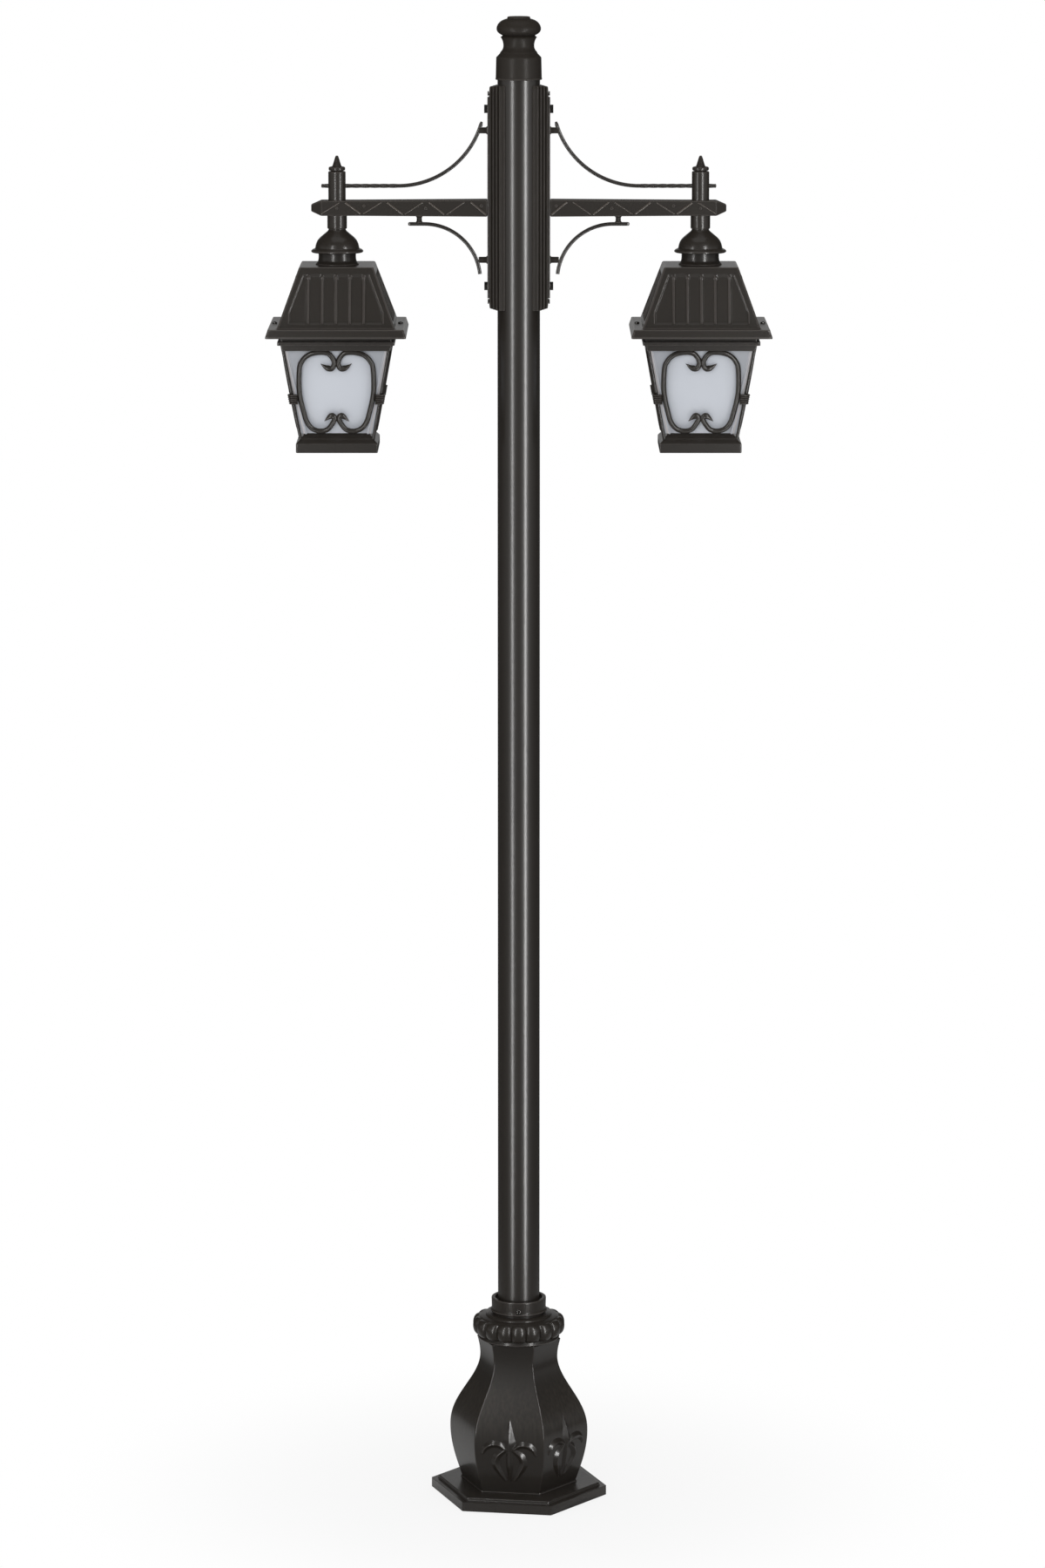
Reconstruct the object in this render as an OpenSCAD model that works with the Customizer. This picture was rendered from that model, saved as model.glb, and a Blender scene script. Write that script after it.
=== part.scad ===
// Twin-arm lamp post: a round pole on a hexagonal foot, with two square lanterns hung from its arms.
// Millimetres, +Z up. The origin is on the ground, on the pole's axis, and the front faces -Y.

/* [Pole] */
// Outer diameter of the pole tube
pole_d = 76; // [66:1:84]
// Wall of the pole tube
pole_wall = 3; // [2:0.5:5]
// Height of the arms' centre line above the ground
arm_z = 2364; // [1800:4:3000]
// Gap between the brackets' tops and the pole cap
cap_gap = 10; // [4:1:40]
// Height of the cap's sleeve around the pole
cap_sleeve_h = 40; // [25:1:60]
// Radial wall of the cap's sleeve at its lower rim
cap_wall = 3.6; // [2.5:0.1:6]
// Radius of the cap's round knob
knob_r = 39.5; // [30:0.5:46]
// Height of the cap's neck and knob above the sleeve
knob_h = 72; // [55:1:90]

/* [Foot plate] */
// Corner radius of the hexagonal foot plate
plate_r = 163; // [150:1:200]
// Height of the plate's lower slab
slab_h = 17; // [12:0.5:30]
// Height of the plate's raised step
step_h = 5.5; // [3:0.5:12]
// Inset of the raised step from the slab's corners
step_inset = 13; // [6:0.5:25]
// Turn of the hexagonal base about the pole, in degrees
base_turn = -9; // [-30:1:30]
// Pitch circle of the anchor holes
anchor_pcd = 126; // [124:1:132]
// Diameter of the anchor holes
anchor_hole_d = 18; // [12:0.5:20]
// Number of anchor holes
anchor_count = 4; // [3:1:4]
// Diameter of the cable entry in the plate
entry_d = 50; // [20:1:56]
// Height of the socket ring around the pole's foot
socket_h = 45; // [25:1:60]
// Radial wall of the socket ring
socket_wall = 6; // [4:0.5:8]

/* [Base cover] */
// Corner radius of the cover at its foot
cover_foot_r = 105; // [104:1:120]
// Corner radius of the cover's belly
belly_r = 128; // [120:1:145]
// Corner radius of the cover's waist
waist_r = 72; // [66:1:82]
// Corner radius of the cover's upper rim
rim_r = 78; // [72:1:86]
// Height of the belly above the plate
belly_h = 98; // [70:1:120]
// Height of the waist above the plate
waist_h = 236; // [200:1:248]
// Height of the cover
cover_h = 270; // [255:1:320]
// Wall of the cover
cover_wall = 5; // [3:0.5:7]
// Height of the beaded ring
ring_h = 46; // [36:1:60]
// Number of beads round the ring
bead_count = 18; // [14:1:20]
// Radius of one bead
bead_r = 11.5; // [9:0.1:12]
// Height of the collar
collar_h = 29; // [20:1:45]
// Outer diameter of the collar
collar_d = 101; // [96:1:120]
// Diameter of the collar's set screws
set_screw_d = 8; // [5:0.5:10]

/* [Access door] */
// Height of the door opening's lower edge above the plate
door_lift = 75; // [70:1:110]
// Width of the opening in the pole
door_w = 42; // [30:1:46]
// Height of the opening in the pole
door_h = 100; // [80:1:120]
// Lap of the door over the pole, round the opening
door_lap = 12; // [10:0.5:14]
// Thickness of the door
door_t = 2.5; // [1.5:0.1:4]
// Width of the terminal block
terminal_w = 32; // [24:1:36]
// Height of the terminal block
terminal_h = 60; // [40:1:90]

/* [Brackets] */
// Height of the side brackets
bracket_h = 400; // [380:2:480]
// Height of the brackets' middle above the arms' centre line
bracket_lift = 18; // [0:1:30]
// Reach of the brackets beyond the pole's surface
bracket_reach = 15; // [12:0.5:24]
// Half-width of the brackets' lips
bracket_half_w = 31; // [28:0.5:34]
// Set-back of each vertical step on the brackets' sides
flute_step = 5; // [3:0.5:5.5]
// Thickness of the back plate that carries an arm
back_plate_t = 3; // [2:0.5:6]
// Distance of the back plate's ends inside the bracket's ends
back_plate_inset = 21; // [11:1:30]
// Width of the back plate
back_plate_w = 30; // [24:1:36]
// Distance of each bracket bolt from the back plate's end
bolt_inset = 21; // [14:1:40]
// Thread diameter of the bracket bolts
bolt_d = 8; // [6:0.5:10]

/* [Arms] */
// Distance from the pole's axis to a lantern's axis
arm_reach = 324; // [290:1:420]
// Height of the arm at the bracket
arm_root_h = 30; // [28:0.5:36]
// Height of the arm at the lantern
arm_tip_h = 26.8; // [24:0.2:30]
// Depth of the arm from front to back
arm_w = 34; // [30:0.5:44]
// Wall of the hollow arm
arm_wall = 3; // [2:0.5:5]
// Length of the arm past the lantern's axis, up to the point
arm_tail = 28; // [24:1:50]
// Length of the arm's point
point_l = 18; // [8:1:30]
// Diameter of the stay and brace rods
rod_d = 6.6; // [5:0.2:8]
// Height of the upper stay above the arm's centre line
stay_lift = 39; // [36:0.5:48]
// Radius of the stay's bend
stay_bend_r = 154; // [130:1:170]
// Angle that the stay's bend turns through
stay_sweep = 75; // [72:1:85]
// Depth of the lower brace below the arm's centre line
brace_drop = 29; // [26:0.5:36]
// Radius of the brace's bend
brace_bend_r = 100; // [85:1:112]
// Angle that the brace's bend turns through
brace_sweep = 84; // [74:1:88]
// Straight length of the brace past its bend
brace_tail = 32; // [26:1:60]
// Angle along both bends at which the stubs meet the rods
stub_angle = 69; // [62:1:70]
// Diameter of the stubs and of the brace's post
stub_d = 12.8; // [10:0.2:14]
// Gap between the back plate and the ends of the rods' middle lines
rod_end_gap = 10; // [8:0.5:16]

/* [Hangers] */
// Diameter of the hanger post above the arm
post_d = 31; // [26:0.5:36]
// Height of the hanger post
post_h = 52; // [48:0.5:70]
// Diameter of the tube below the arm
tube_d = 35; // [30:0.5:42]
// Length of the tube below the arm
tube_h = 24; // [16:0.5:40]
// Diameter of the hollow stem rod
stem_d = 16; // [14:0.5:18]
// Bore of the stem rod
stem_bore_d = 10; // [9:0.5:11]
// Diameter of the finial's disc
finial_d = 29.6; // [24:0.2:34]
// Height of the finial's spike
spike_h = 18; // [10:0.5:30]
// Diameter of the lantern feed cables
cable_d = 7; // [5:0.5:8]

/* [Lantern roof] */
// Height of the dome
dome_h = 63.5; // [55:0.5:80]
// Radius of the dome's body
dome_r = 39.3; // [34:0.1:42]
// Radius of the dome's ring
dome_ring_r = 46.5; // [44:0.5:56]
// Half-width of the roof's flat top
roof_top_hw = 66; // [60:0.5:76]
// Half-width of the roof's foot
roof_foot_hw = 104.5; // [100:0.5:107]
// Height of the roof
roof_h = 106; // [90:1:130]
// Half-width of the brim at its top
brim_hw = 120.5; // [119:0.5:130]
// How much the brim flares out below
brim_flare = 4; // [0:0.5:8]
// Height of the brim
brim_h = 16; // [14:0.5:24]
// Sheet thickness of the roof and brim
roof_wall = 3; // [2:0.5:4]
// Depth of the roof's recessed panels
panel_depth = 1.6; // [0.6:0.1:1.8]
// Number of ribs on a roof panel
rib_count = 5; // [3:1:7]
// Width of a rib
rib_w = 6.7; // [4:0.1:9]
// Spacing of the ribs
rib_pitch = 24.6; // [16:0.2:25]
// Thickness of the seal under the brim
seal_t = 2; // [1:0.5:3]
// Thread diameter of the brim screws
brim_screw_d = 5; // [4:0.5:6]

/* [Lantern cage] */
// Half-width of the cage's glazed body at its top
body_top_hw = 98.5; // [96:0.5:100]
// Half-width of the cage's glazed body at its foot
body_foot_hw = 66.5; // [62:0.5:70]
// Height of the cage's glazed body, down to the plinth's bevel
body_h = 177; // [150:1:200]
// Half-width of the cage's lip
lip_hw = 104; // [101:0.5:108]
// Height of the lip
lip_h = 7; // [4:0.5:10]
// Gap between the lip and the brim
lip_gap = 7; // [3:0.5:12]
// Sheet thickness of the cage
cage_wall = 3; // [2:0.5:4]
// Width of the corner posts
corner_w = 8; // [7:0.5:12]
// Height of the cage's top rail
rail_h = 10; // [6:0.5:16]
// Thickness of the glass
glass_t = 3; // [2:0.5:4]
// Width of the scroll bars
scroll_w = 8.4; // [6:0.2:9]
// Thickness of the scroll bars
scroll_t = 5; // [3:0.5:8]
// Height of a corner band
band_h = 18.4; // [12:0.4:28]
// Thickness of a corner band
band_t = 3; // [1.5:0.5:4]
// Half-width of the plinth
plinth_hw = 73; // [71:0.5:82]
// Height of the plinth's upright sides
plinth_h = 18; // [12:1:30]
// Height of the plinth's bevel, which rises to the glass
bevel_h = 16; // [10:1:24]
// Depth of the plinth's bevel
bevel_w = 16; // [12:0.5:22]

/* [Lamp] */
// Outer diameter of the lampholder
holder_d = 44; // [38:1:52]
// Height of the lampholder
holder_h = 56; // [44:1:66]
// Radius of the lamp's globe
globe_r = 34; // [26:1:40]
// Length of the lamp below its holder
lamp_l = 98; // [85:1:105]

/* [Hidden] */
$fn = 64;
paint = "#3a3531";
steel = "#8d8f92";
opal = "#cdd2dc";
dark = "#1d1d1e";

// Clearances
fit = 0.05;
slide_gap = 0.4;
thread_gap = 0.3;
eps = 1;

// Pole and foot
pole_r = pole_d / 2;
pole_bore_r = pole_r - pole_wall;
plate_top = slab_h + step_h;
bracket_z = arm_z + bracket_lift;
cap_foot_z = bracket_z + bracket_h / 2 + cap_gap;
pole_top = cap_foot_z + cap_sleeve_h - 4;
anchor_turn = 45;
socket_r = pole_r + socket_wall;
gusset_t = 6;
gusset_reach = 26;

// Base cover, beaded ring and collar
belly_skew = 1.12;
belly_steps = 8;
waist_steps = 12;
rim_steps = 5;
ring_z = plate_top + cover_h;
collar_z = ring_z + ring_h;
ring_body_r = rim_r - 4;
bead_pitch_r = rim_r + 6 - bead_r;
set_screw_count = 3;
set_screw_proud = 2;

// Access door and terminal block
door_z = plate_top + door_lift;
door_screw_d = 4;
terminal_d = 22;
tray_t = 3;
tray_end = 10;
terminal_z = door_z + (door_h - terminal_h) / 2;
cable_x = 8;

// Brackets
flute_count = 3;
lip_lap = 14;
lip_x = pole_r - lip_lap;
bracket_x = pole_r + bracket_reach;
arm_root_x = bracket_x + back_plate_t;
back_plate_h = bracket_h - 2 * back_plate_inset;
bolt_spread = back_plate_h / 2 - bolt_inset;
bolt_hole_r = bolt_d / 2 + fit;
bolt_head_h = 0.7 * bolt_d;
bolt_head_r = 0.94 * bolt_d;
bolt_inside = 8;
cable_hole_r = cable_d / 2 + 2;

// Arms and rods
arm_level_x = arm_reach - post_d - 4;
arm_end_x = arm_reach + arm_tail;
rod_r = rod_d / 2;
stay_z = arm_z + stay_lift;
stay_centre_x = arm_root_x + rod_end_gap + stay_bend_r * sin(stay_sweep);
stay_stub_x = stay_centre_x - stay_bend_r * sin(stub_angle);
stay_stub_z = stay_z + stay_bend_r * (1 - cos(stub_angle));
brace_z = arm_z - brace_drop;
brace_centre_x = arm_root_x + rod_end_gap + brace_bend_r * sin(brace_sweep);
brace_stub_x = brace_centre_x - brace_bend_r * sin(stub_angle);
brace_stub_z = brace_z - brace_bend_r * (1 - cos(stub_angle));
brace_post_x = brace_centre_x + brace_tail / 2 - 4;

// Heights down a hanger and lantern
arm_top_z = arm_z + arm_tip_h / 2;
tube_top_z = arm_z - arm_tip_h / 2;
dome_top_z = tube_top_z - tube_h;
roof_top_z = dome_top_z - dome_h;
brim_top_z = roof_top_z - roof_h;
brim_z = brim_top_z - brim_h;
ledge_t = 4;
seal_z = brim_top_z - ledge_t - seal_t;
flange_t = 6;
flange_z = seal_z - flange_t;
lip_top_z = brim_z - lip_gap;
body_top_z = lip_top_z - lip_h;
body_z = body_top_z - body_h;
plinth_z = body_z - plinth_h;

// Hanger details
post_thread = 14;
spigot_r = 5;
spigot_h = 12;
stem_r = stem_d / 2;
cable_bend_r = 14;
top_plate_t = 4;
washer_t = 2.5;
washer_r = stem_r + 12;
nut_h = 10;
nut_r = 0.86 * stem_d;
holder_top_z = roof_top_z - top_plate_t - washer_t - nut_h - 4;
stem_end_z = holder_top_z - 10;
holder_z = holder_top_z - holder_h;
lamp_cap_r = 13.4;

// Roof and cage details
roof_slope = atan((roof_foot_hw - roof_top_hw) / roof_h);
panel_l = roof_h / cos(roof_slope);
panel_foot = 10;
panel_head = 15;
panel_edge = 22;
panel_head_edge = 8;
panel_upright = 20;
skirt_hw = brim_hw - roof_wall;
flange_hw = skirt_hw - 0.6;
screw_x = (roof_foot_hw + brim_hw) / 2;
neck_hw = body_top_hw;
mouth_hw = body_top_hw - cage_wall - 3.5;
body_slope = atan((body_top_hw - body_foot_hw) / body_h);
window_z = body_z + bevel_h;
window_h = body_h - rail_h - bevel_h;
window_l = window_h / cos(body_slope);
glass_gap = 0.1;
plinth_wall = 3;

// One scroll bar's middle line, from its upper leaf to its lower leaf, across from the window's middle and
// up from its foot, as shares of the window's mean half-width and of its length
scroll_span = body_hw(window_z + window_h / 2) - corner_w;
scroll_points = [
    [-0.37, 0.845], [-0.25, 0.795], [-0.12, 0.79], [-0.062, 0.845], [-0.095, 0.925],
    [-0.24, 0.97], [-0.48, 0.975], [-0.73, 0.91], [-0.87, 0.74], [-0.865, 0.52],
    [-0.8, 0.29], [-0.67, 0.11], [-0.48, 0.04], [-0.25, 0.035], [-0.1, 0.085],
    [-0.062, 0.155], [-0.12, 0.205], [-0.23, 0.195], [-0.32, 0.15]
];
scroll_steps = 3;
leaf_share = 0.09;

// Corner bands, which end just outside the scrolls' bulge beside them
band_z = window_z + 0.36 * window_h;
band_rings = 4;
band_gap = 0.5;
bulge_share = 0.86;
band_reach = body_hw(band_z) - bulge_share * scroll_span - scroll_w / 2 - band_gap;

// Shared shapes

module tube(outer_r, inner_r, height) {
    difference() {
        cylinder(r = outer_r, h = height);
        translate([0, 0, -eps]) cylinder(r = inner_r, h = height + 2 * eps);
    }
}

// A round bar along +X
module bar_x(radius, length) {
    rotate([0, 90, 0]) cylinder(r = radius, h = length);
}

// A square box of half-width hw that stands on z = 0
module square_block(hw, height) {
    translate([-hw, -hw, 0]) cube([2 * hw, 2 * hw, height]);
}

// A slab that tapers in X from foot_hw to head_hw, and runs along Y
module tapered_slab(foot_hw, head_hw, height) {
    length = 4 * max(foot_hw, head_hw);
    rotate([90, 0, 0])
        linear_extrude(length, center = true)
            polygon([[-foot_hw, 0], [foot_hw, 0], [head_hw, height], [-head_hw, height]]);
}

// A square block whose four sides taper from foot_hw to head_hw
module tapered_block(foot_hw, head_hw, height) {
    intersection() {
        tapered_slab(foot_hw, head_hw, height);
        rotate([0, 0, 90]) tapered_slab(foot_hw, head_hw, height);
    }
}

function hexagon_ring(corner_r, z) = [for (i = [0 : 5]) [corner_r * cos(60 * i), corner_r * sin(60 * i), z]];

// A hexagonal solid whose corner radius follows a profile of [radius, height], from the bottom up
module hexagon_loft(profile) {
    last = len(profile) - 1;
    points = [for (p = profile) each hexagon_ring(p[0], p[1])];
    sides = [
        for (j = [0 : last - 1], i = [0 : 5])
            let (k = (i + 1) % 6)
            [6 * j + i, 6 * (j + 1) + i, 6 * (j + 1) + k, 6 * j + k]
    ];
    foot = [for (i = [0 : 5]) i];
    head = [for (i = [5 : -1 : 0]) 6 * last + i];
    polyhedron(points, concat([foot], sides, [head]));
}

// A smooth curve through points: the stretch from b to c, with a and d as its neighbours
function spline_point(a, b, c, d, t) =
    0.5 * (2 * b + (c - a) * t + (2 * a - 5 * b + 4 * c - d) * t * t + (3 * b - a - 3 * c + d) * t * t * t);

function spline(points, steps) =
    let (last = len(points) - 1)
    concat(
        [
            for (i = [0 : last - 1], j = [0 : steps - 1])
                spline_point(
                    points[max(i - 1, 0)], points[i], points[i + 1], points[min(i + 2, last)], j / steps
                )
        ],
        [points[last]]
    );

function unit(v) = v / norm(v);

// The sideways direction of a path at its point i
function path_side(path, i) =
    let (d = unit(path[min(i + 1, len(path) - 1)] - path[max(i - 1, 0)]))
    [-d[1], d[0]];

// Half the width of a scroll bar at share t of its length: it swells into a leaf and closes at both ends
function scroll_half_width(t) =
    let (e = min(t, 1 - t) / leaf_share)
    scroll_w / 2 * (e >= 1 ? 1 : 0.12 + 0.88 * sin(90 * e));

// Sides and places

module on_right() {
    children();
}

module on_left() {
    mirror([1, 0, 0]) children();
}

module at_lantern() {
    translate([arm_reach, 0, 0]) children();
}

module four_sides() {
    for (i = [0 : 3]) rotate([0, 0, 90 * i]) children();
}

// Foot and pole

module foot_plate() {
    color(paint)
        difference() {
            rotate([0, 0, base_turn]) {
                cylinder(r = plate_r, h = slab_h, $fn = 6);
                cylinder(r = plate_r - step_inset, h = plate_top, $fn = 6);
            }
            for (i = [0 : anchor_count - 1])
                rotate([0, 0, anchor_turn + i * 360 / anchor_count])
                    translate([anchor_pcd / 2, 0, -eps])
                        cylinder(d = anchor_hole_d, h = plate_top + 2 * eps);
            translate([0, 0, -eps]) cylinder(d = entry_d, h = plate_top + 2 * eps);
        }
}

module bolt_places() {
    for (z = [bracket_z - bolt_spread, bracket_z + bolt_spread]) translate([0, 0, z]) children();
}

module pole_tube() {
    color(paint)
        difference() {
            translate([0, 0, plate_top]) tube(pole_r, pole_bore_r, pole_top - plate_top);
            bolt_places() translate([-pole_d, 0, 0]) bar_x(bolt_hole_r, 2 * pole_d);
            translate([-pole_d, 0, arm_z]) bar_x(cable_hole_r, 2 * pole_d);
            translate([-door_w / 2, 0, door_z]) cube([door_w, pole_d, door_h]);
            door_screw_places() bar_x(door_screw_d / 2 + fit, pole_d);
        }
}

// The socket ring and its gussets, which hold the pole's foot on the plate
module pole_socket() {
    gusset_h = socket_h - 6;
    color(paint)
        translate([0, 0, plate_top])
            difference() {
                union() {
                    cylinder(r = socket_r, h = socket_h);
                    for (i = [0 : anchor_count - 1])
                        rotate([90, 0, anchor_turn + (i + 0.5) * 360 / anchor_count])
                            linear_extrude(gusset_t, center = true)
                                polygon([
                                    [pole_r, 0], [socket_r + gusset_reach, 0],
                                    [socket_r + gusset_reach, 6], [socket_r, gusset_h], [pole_r, gusset_h]
                                ]);
                }
                translate([0, 0, -eps]) cylinder(r = pole_r + fit, h = socket_h + 2 * eps);
            }
}

// The door's two screws point forwards, above and below the opening at the pole's back
module door_screw_places() {
    for (z = [door_z - door_lap / 2, door_z + door_h + door_lap / 2])
        translate([0, 0, z]) rotate([0, 0, 90]) children();
}

module access_door() {
    color(paint)
        difference() {
            translate([0, 0, door_z - door_lap])
                intersection() {
                    tube(pole_r + fit + door_t, pole_r + fit, door_h + 2 * door_lap);
                    translate([-door_w / 2 - door_lap / 2, 0, 0])
                        cube([door_w + door_lap, pole_d, door_h + 2 * door_lap]);
                }
            door_screw_places() bar_x(door_screw_d / 2 + fit, pole_d);
        }
}

module door_screws() {
    seat_x = pole_r + fit + door_t;
    color(steel)
        door_screw_places() {
            translate([pole_bore_r - 3, 0, 0]) bar_x(door_screw_d / 2, seat_x - pole_bore_r + 3);
            translate([seat_x, 0, 0]) bar_x(0.9 * door_screw_d, 0.6 * door_screw_d);
        }
}

// The terminal block on its tray, which spans the pole's bore behind the door
module terminal_block() {
    tray_y = -terminal_d / 2 - tray_t;
    tray_hw = sqrt(pow(pole_bore_r, 2) - pow(tray_y, 2)) - 0.1;
    color(dark)
        translate([0, 0, terminal_z]) {
            translate([-tray_hw, tray_y, -tray_end]) cube([2 * tray_hw, tray_t, terminal_h + 2 * tray_end]);
            translate([-terminal_w / 2, -terminal_d / 2, 0]) cube([terminal_w, terminal_d, terminal_h]);
        }
}

// The cap: a sleeve over the pole's end, a hollow neck, and a bun-shaped knob with a flat button on it
module pole_cap() {
    sleeve_r = pole_r + cap_wall;
    shoulder_r = sleeve_r - 1.4;
    neck_r = 0.71 * knob_r;
    button_r = 0.52 * knob_r;
    neck_z = cap_sleeve_h + 0.31 * knob_h;
    knob_z = cap_sleeve_h + 0.67 * knob_h;
    knob_half_h = 0.235 * knob_h;
    top_z = cap_sleeve_h + knob_h;
    bun = [
        for (a = [-70 : 10 : 60])
            [button_r + (knob_r - button_r) * pow(cos(a), 0.6), knob_z + knob_half_h * sin(a)]
    ];
    profile = concat(
        [
            [0, 0], [sleeve_r, 0], [shoulder_r, cap_sleeve_h], [0.8 * shoulder_r, neck_z - 13],
            [neck_r + 1.5, neck_z - 11], [neck_r, neck_z - 4], [neck_r, neck_z + 3]
        ],
        bun,
        [[button_r, top_z - 4], [button_r, top_z], [0, top_z]]
    );
    color(paint)
        translate([0, 0, cap_foot_z])
            difference() {
                rotate_extrude() polygon(profile);
                translate([0, 0, -eps]) cylinder(r = pole_r + fit, h = pole_top - cap_foot_z + eps);
            }
}

// Base cover

// The cover's corner radius and height: it swells from the foot to the belly, draws in to the waist
// and flares to the rim
function cover_profile(inset) = concat(
    [
        for (i = [0 : belly_steps])
            let (t = i / belly_steps)
            [cover_foot_r + (belly_r - cover_foot_r) * sin(90 * t) - inset, plate_top + belly_h * t]
    ],
    [
        for (i = [1 : waist_steps])
            let (t = i / waist_steps)
            [
                waist_r + (belly_r - waist_r) * (1 + cos(180 * pow(t, belly_skew))) / 2 - inset,
                plate_top + belly_h + (waist_h - belly_h) * t
            ]
    ],
    [
        for (i = [1 : rim_steps])
            let (t = i / rim_steps)
            [
                waist_r + (rim_r - waist_r) * (1 - cos(90 * t)) - inset,
                plate_top + waist_h + (cover_h - waist_h) * t
            ]
    ]
);

module base_cover() {
    wall = cover_wall / cos(30);
    inner = cover_profile(wall);
    last = len(inner) - 1;
    color(paint)
        rotate([0, 0, base_turn])
            difference() {
                hexagon_loft(cover_profile(0));
                hexagon_loft(concat(
                    [[inner[0][0], inner[0][1] - eps]], inner, [[inner[last][0], inner[last][1] + eps]]
                ));
            }
}

module beaded_ring() {
    bore_r = pole_r + 1.5;
    color(paint)
        translate([0, 0, ring_z]) {
            rotate_extrude()
                polygon([
                    [bore_r, 0], [rim_r + 1, 0], [rim_r + 2, 0.15 * ring_h], [ring_body_r, 0.25 * ring_h],
                    [ring_body_r, 0.8 * ring_h], [rim_r, 0.86 * ring_h], [rim_r - 1, ring_h], [bore_r, ring_h]
                ]);
            for (i = [0 : bead_count - 1])
                rotate([0, 0, (i + 0.5) * 360 / bead_count])
                    translate([bead_pitch_r, 0, 0.52 * ring_h])
                        sphere(r = bead_r);
        }
}

// The set screws point outwards from the pole, with one at the front
module set_screw_places() {
    for (i = [0 : set_screw_count - 1])
        rotate([0, 0, -90 + i * 360 / set_screw_count])
            translate([pole_r + slide_gap, 0, collar_z + 0.45 * collar_h])
                children();
}

module pole_collar() {
    color(paint)
        difference() {
            translate([0, 0, collar_z]) tube(collar_d / 2, pole_r + slide_gap, collar_h);
            set_screw_places() translate([-eps, 0, 0]) bar_x(set_screw_d / 2 + fit, collar_d / 2);
        }
}

module collar_screws() {
    color(dark)
        set_screw_places() bar_x(set_screw_d / 2, collar_d / 2 + set_screw_proud - pole_r - slide_gap);
}

// Brackets and back plates, on the right

// The bracket's plan: it steps in from its wide lips by the pole to its narrow outer face
module bracket() {
    run = (bracket_x - lip_x) / (flute_count + 1);
    half = [
        for (i = [0 : flute_count])
            each [
                [lip_x + i * run, bracket_half_w - i * flute_step],
                [lip_x + (i + 1) * run, bracket_half_w - i * flute_step]
            ]
    ];
    count = len(half);
    color(paint)
        difference() {
            translate([0, 0, bracket_z - bracket_h / 2])
                linear_extrude(bracket_h)
                    polygon(concat(half, [for (i = [count - 1 : -1 : 0]) [half[i][0], -half[i][1]]]));
            translate([0, 0, bracket_z - bracket_h]) cylinder(r = pole_r + fit, h = 2 * bracket_h);
            bolt_places() bar_x(bolt_hole_r, 2 * bracket_x);
            translate([0, 0, arm_z]) bar_x(cable_hole_r, 2 * bracket_x);
        }
}

module back_plate() {
    color(paint)
        difference() {
            translate([bracket_x, -back_plate_w / 2, bracket_z - back_plate_h / 2])
                cube([back_plate_t, back_plate_w, back_plate_h]);
            bolt_places() bar_x(bolt_hole_r, 2 * bracket_x);
            translate([0, 0, arm_z]) bar_x(cable_hole_r, 2 * bracket_x);
        }
}

module bracket_bolts() {
    start_x = pole_bore_r - bolt_inside;
    color(paint)
        for (side = [0, 180])
            rotate([0, 0, side])
                bolt_places() {
                    translate([start_x, 0, 0]) bar_x(bolt_d / 2, arm_root_x - start_x);
                    translate([arm_root_x, 0, 0])
                        rotate([0, 90, 0])
                            cylinder(r = bolt_head_r, h = bolt_head_h, $fn = 6);
                }
}

// Arms and rods, on the right

// The arm seen from the front, drawn in by an inset on its long sides
module arm_side(root_x, end_x, inset) {
    root = arm_root_h / 2 - inset;
    tip = arm_tip_h / 2 - inset;
    translate([0, 0, arm_z])
        rotate([90, 0, 0])
            linear_extrude(2 * arm_w, center = true)
                polygon([
                    [root_x, -root], [arm_level_x, -tip], [end_x, -tip], [end_x, tip],
                    [arm_level_x, tip], [root_x, root]
                ]);
}

// The arm's pointed end, as a four-sided block that narrows to a small flat face
module arm_point() {
    point_share = 0.45;
    intersection() {
        translate([arm_end_x, 0, arm_z])
            rotate([90, 0, 0])
                linear_extrude(arm_w, center = true)
                    polygon([
                        [0, -arm_tip_h / 2], [point_l, -point_share * arm_tip_h / 2],
                        [point_l, point_share * arm_tip_h / 2], [0, arm_tip_h / 2]
                    ]);
        translate([arm_end_x, 0, arm_z - arm_tip_h])
            linear_extrude(2 * arm_tip_h)
                polygon([
                    [0, -arm_w / 2], [point_l, -point_share * arm_w / 2],
                    [point_l, point_share * arm_w / 2], [0, arm_w / 2]
                ]);
    }
}

module arm() {
    inner_w = arm_w - 2 * arm_wall;
    color(paint)
        difference() {
            union() {
                intersection() {
                    arm_side(arm_root_x, arm_end_x, 0);
                    translate([0, -arm_w / 2, arm_z - arm_root_h])
                        cube([arm_end_x, arm_w, 2 * arm_root_h]);
                }
                arm_point();
            }
            intersection() {
                arm_side(arm_root_x - eps, arm_end_x - arm_wall, arm_wall);
                translate([0, -inner_w / 2, arm_z - arm_root_h]) cube([arm_end_x, inner_w, 2 * arm_root_h]);
            }
            at_lantern() translate([0, 0, arm_z - arm_root_h]) cylinder(r = stem_r + fit, h = 2 * arm_root_h);
        }
}

// A rod's bend: an arc that starts straight below its centre and turns towards the pole through sweep
module rod_bend(bend_r, sweep, radius) {
    rotate([90, 0, 0])
        rotate([0, 0, -90])
            mirror([0, 1, 0])
                rotate_extrude(angle = sweep)
                    translate([bend_r, 0]) circle(r = radius);
}

module stay_rod(radius) {
    translate([stay_centre_x, 0, stay_z]) {
        translate([0, 0, stay_bend_r]) rod_bend(stay_bend_r, stay_sweep, radius);
        bar_x(radius, arm_end_x - stay_centre_x);
    }
}

module brace_rod(radius) {
    translate([brace_centre_x, 0, brace_z]) {
        translate([0, 0, -brace_bend_r]) mirror([0, 0, 1]) rod_bend(brace_bend_r, brace_sweep, radius);
        bar_x(radius, brace_tail);
    }
}

module stay() {
    color(paint) stay_rod(rod_r);
}

module brace() {
    color(paint) brace_rod(rod_r);
}

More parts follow.
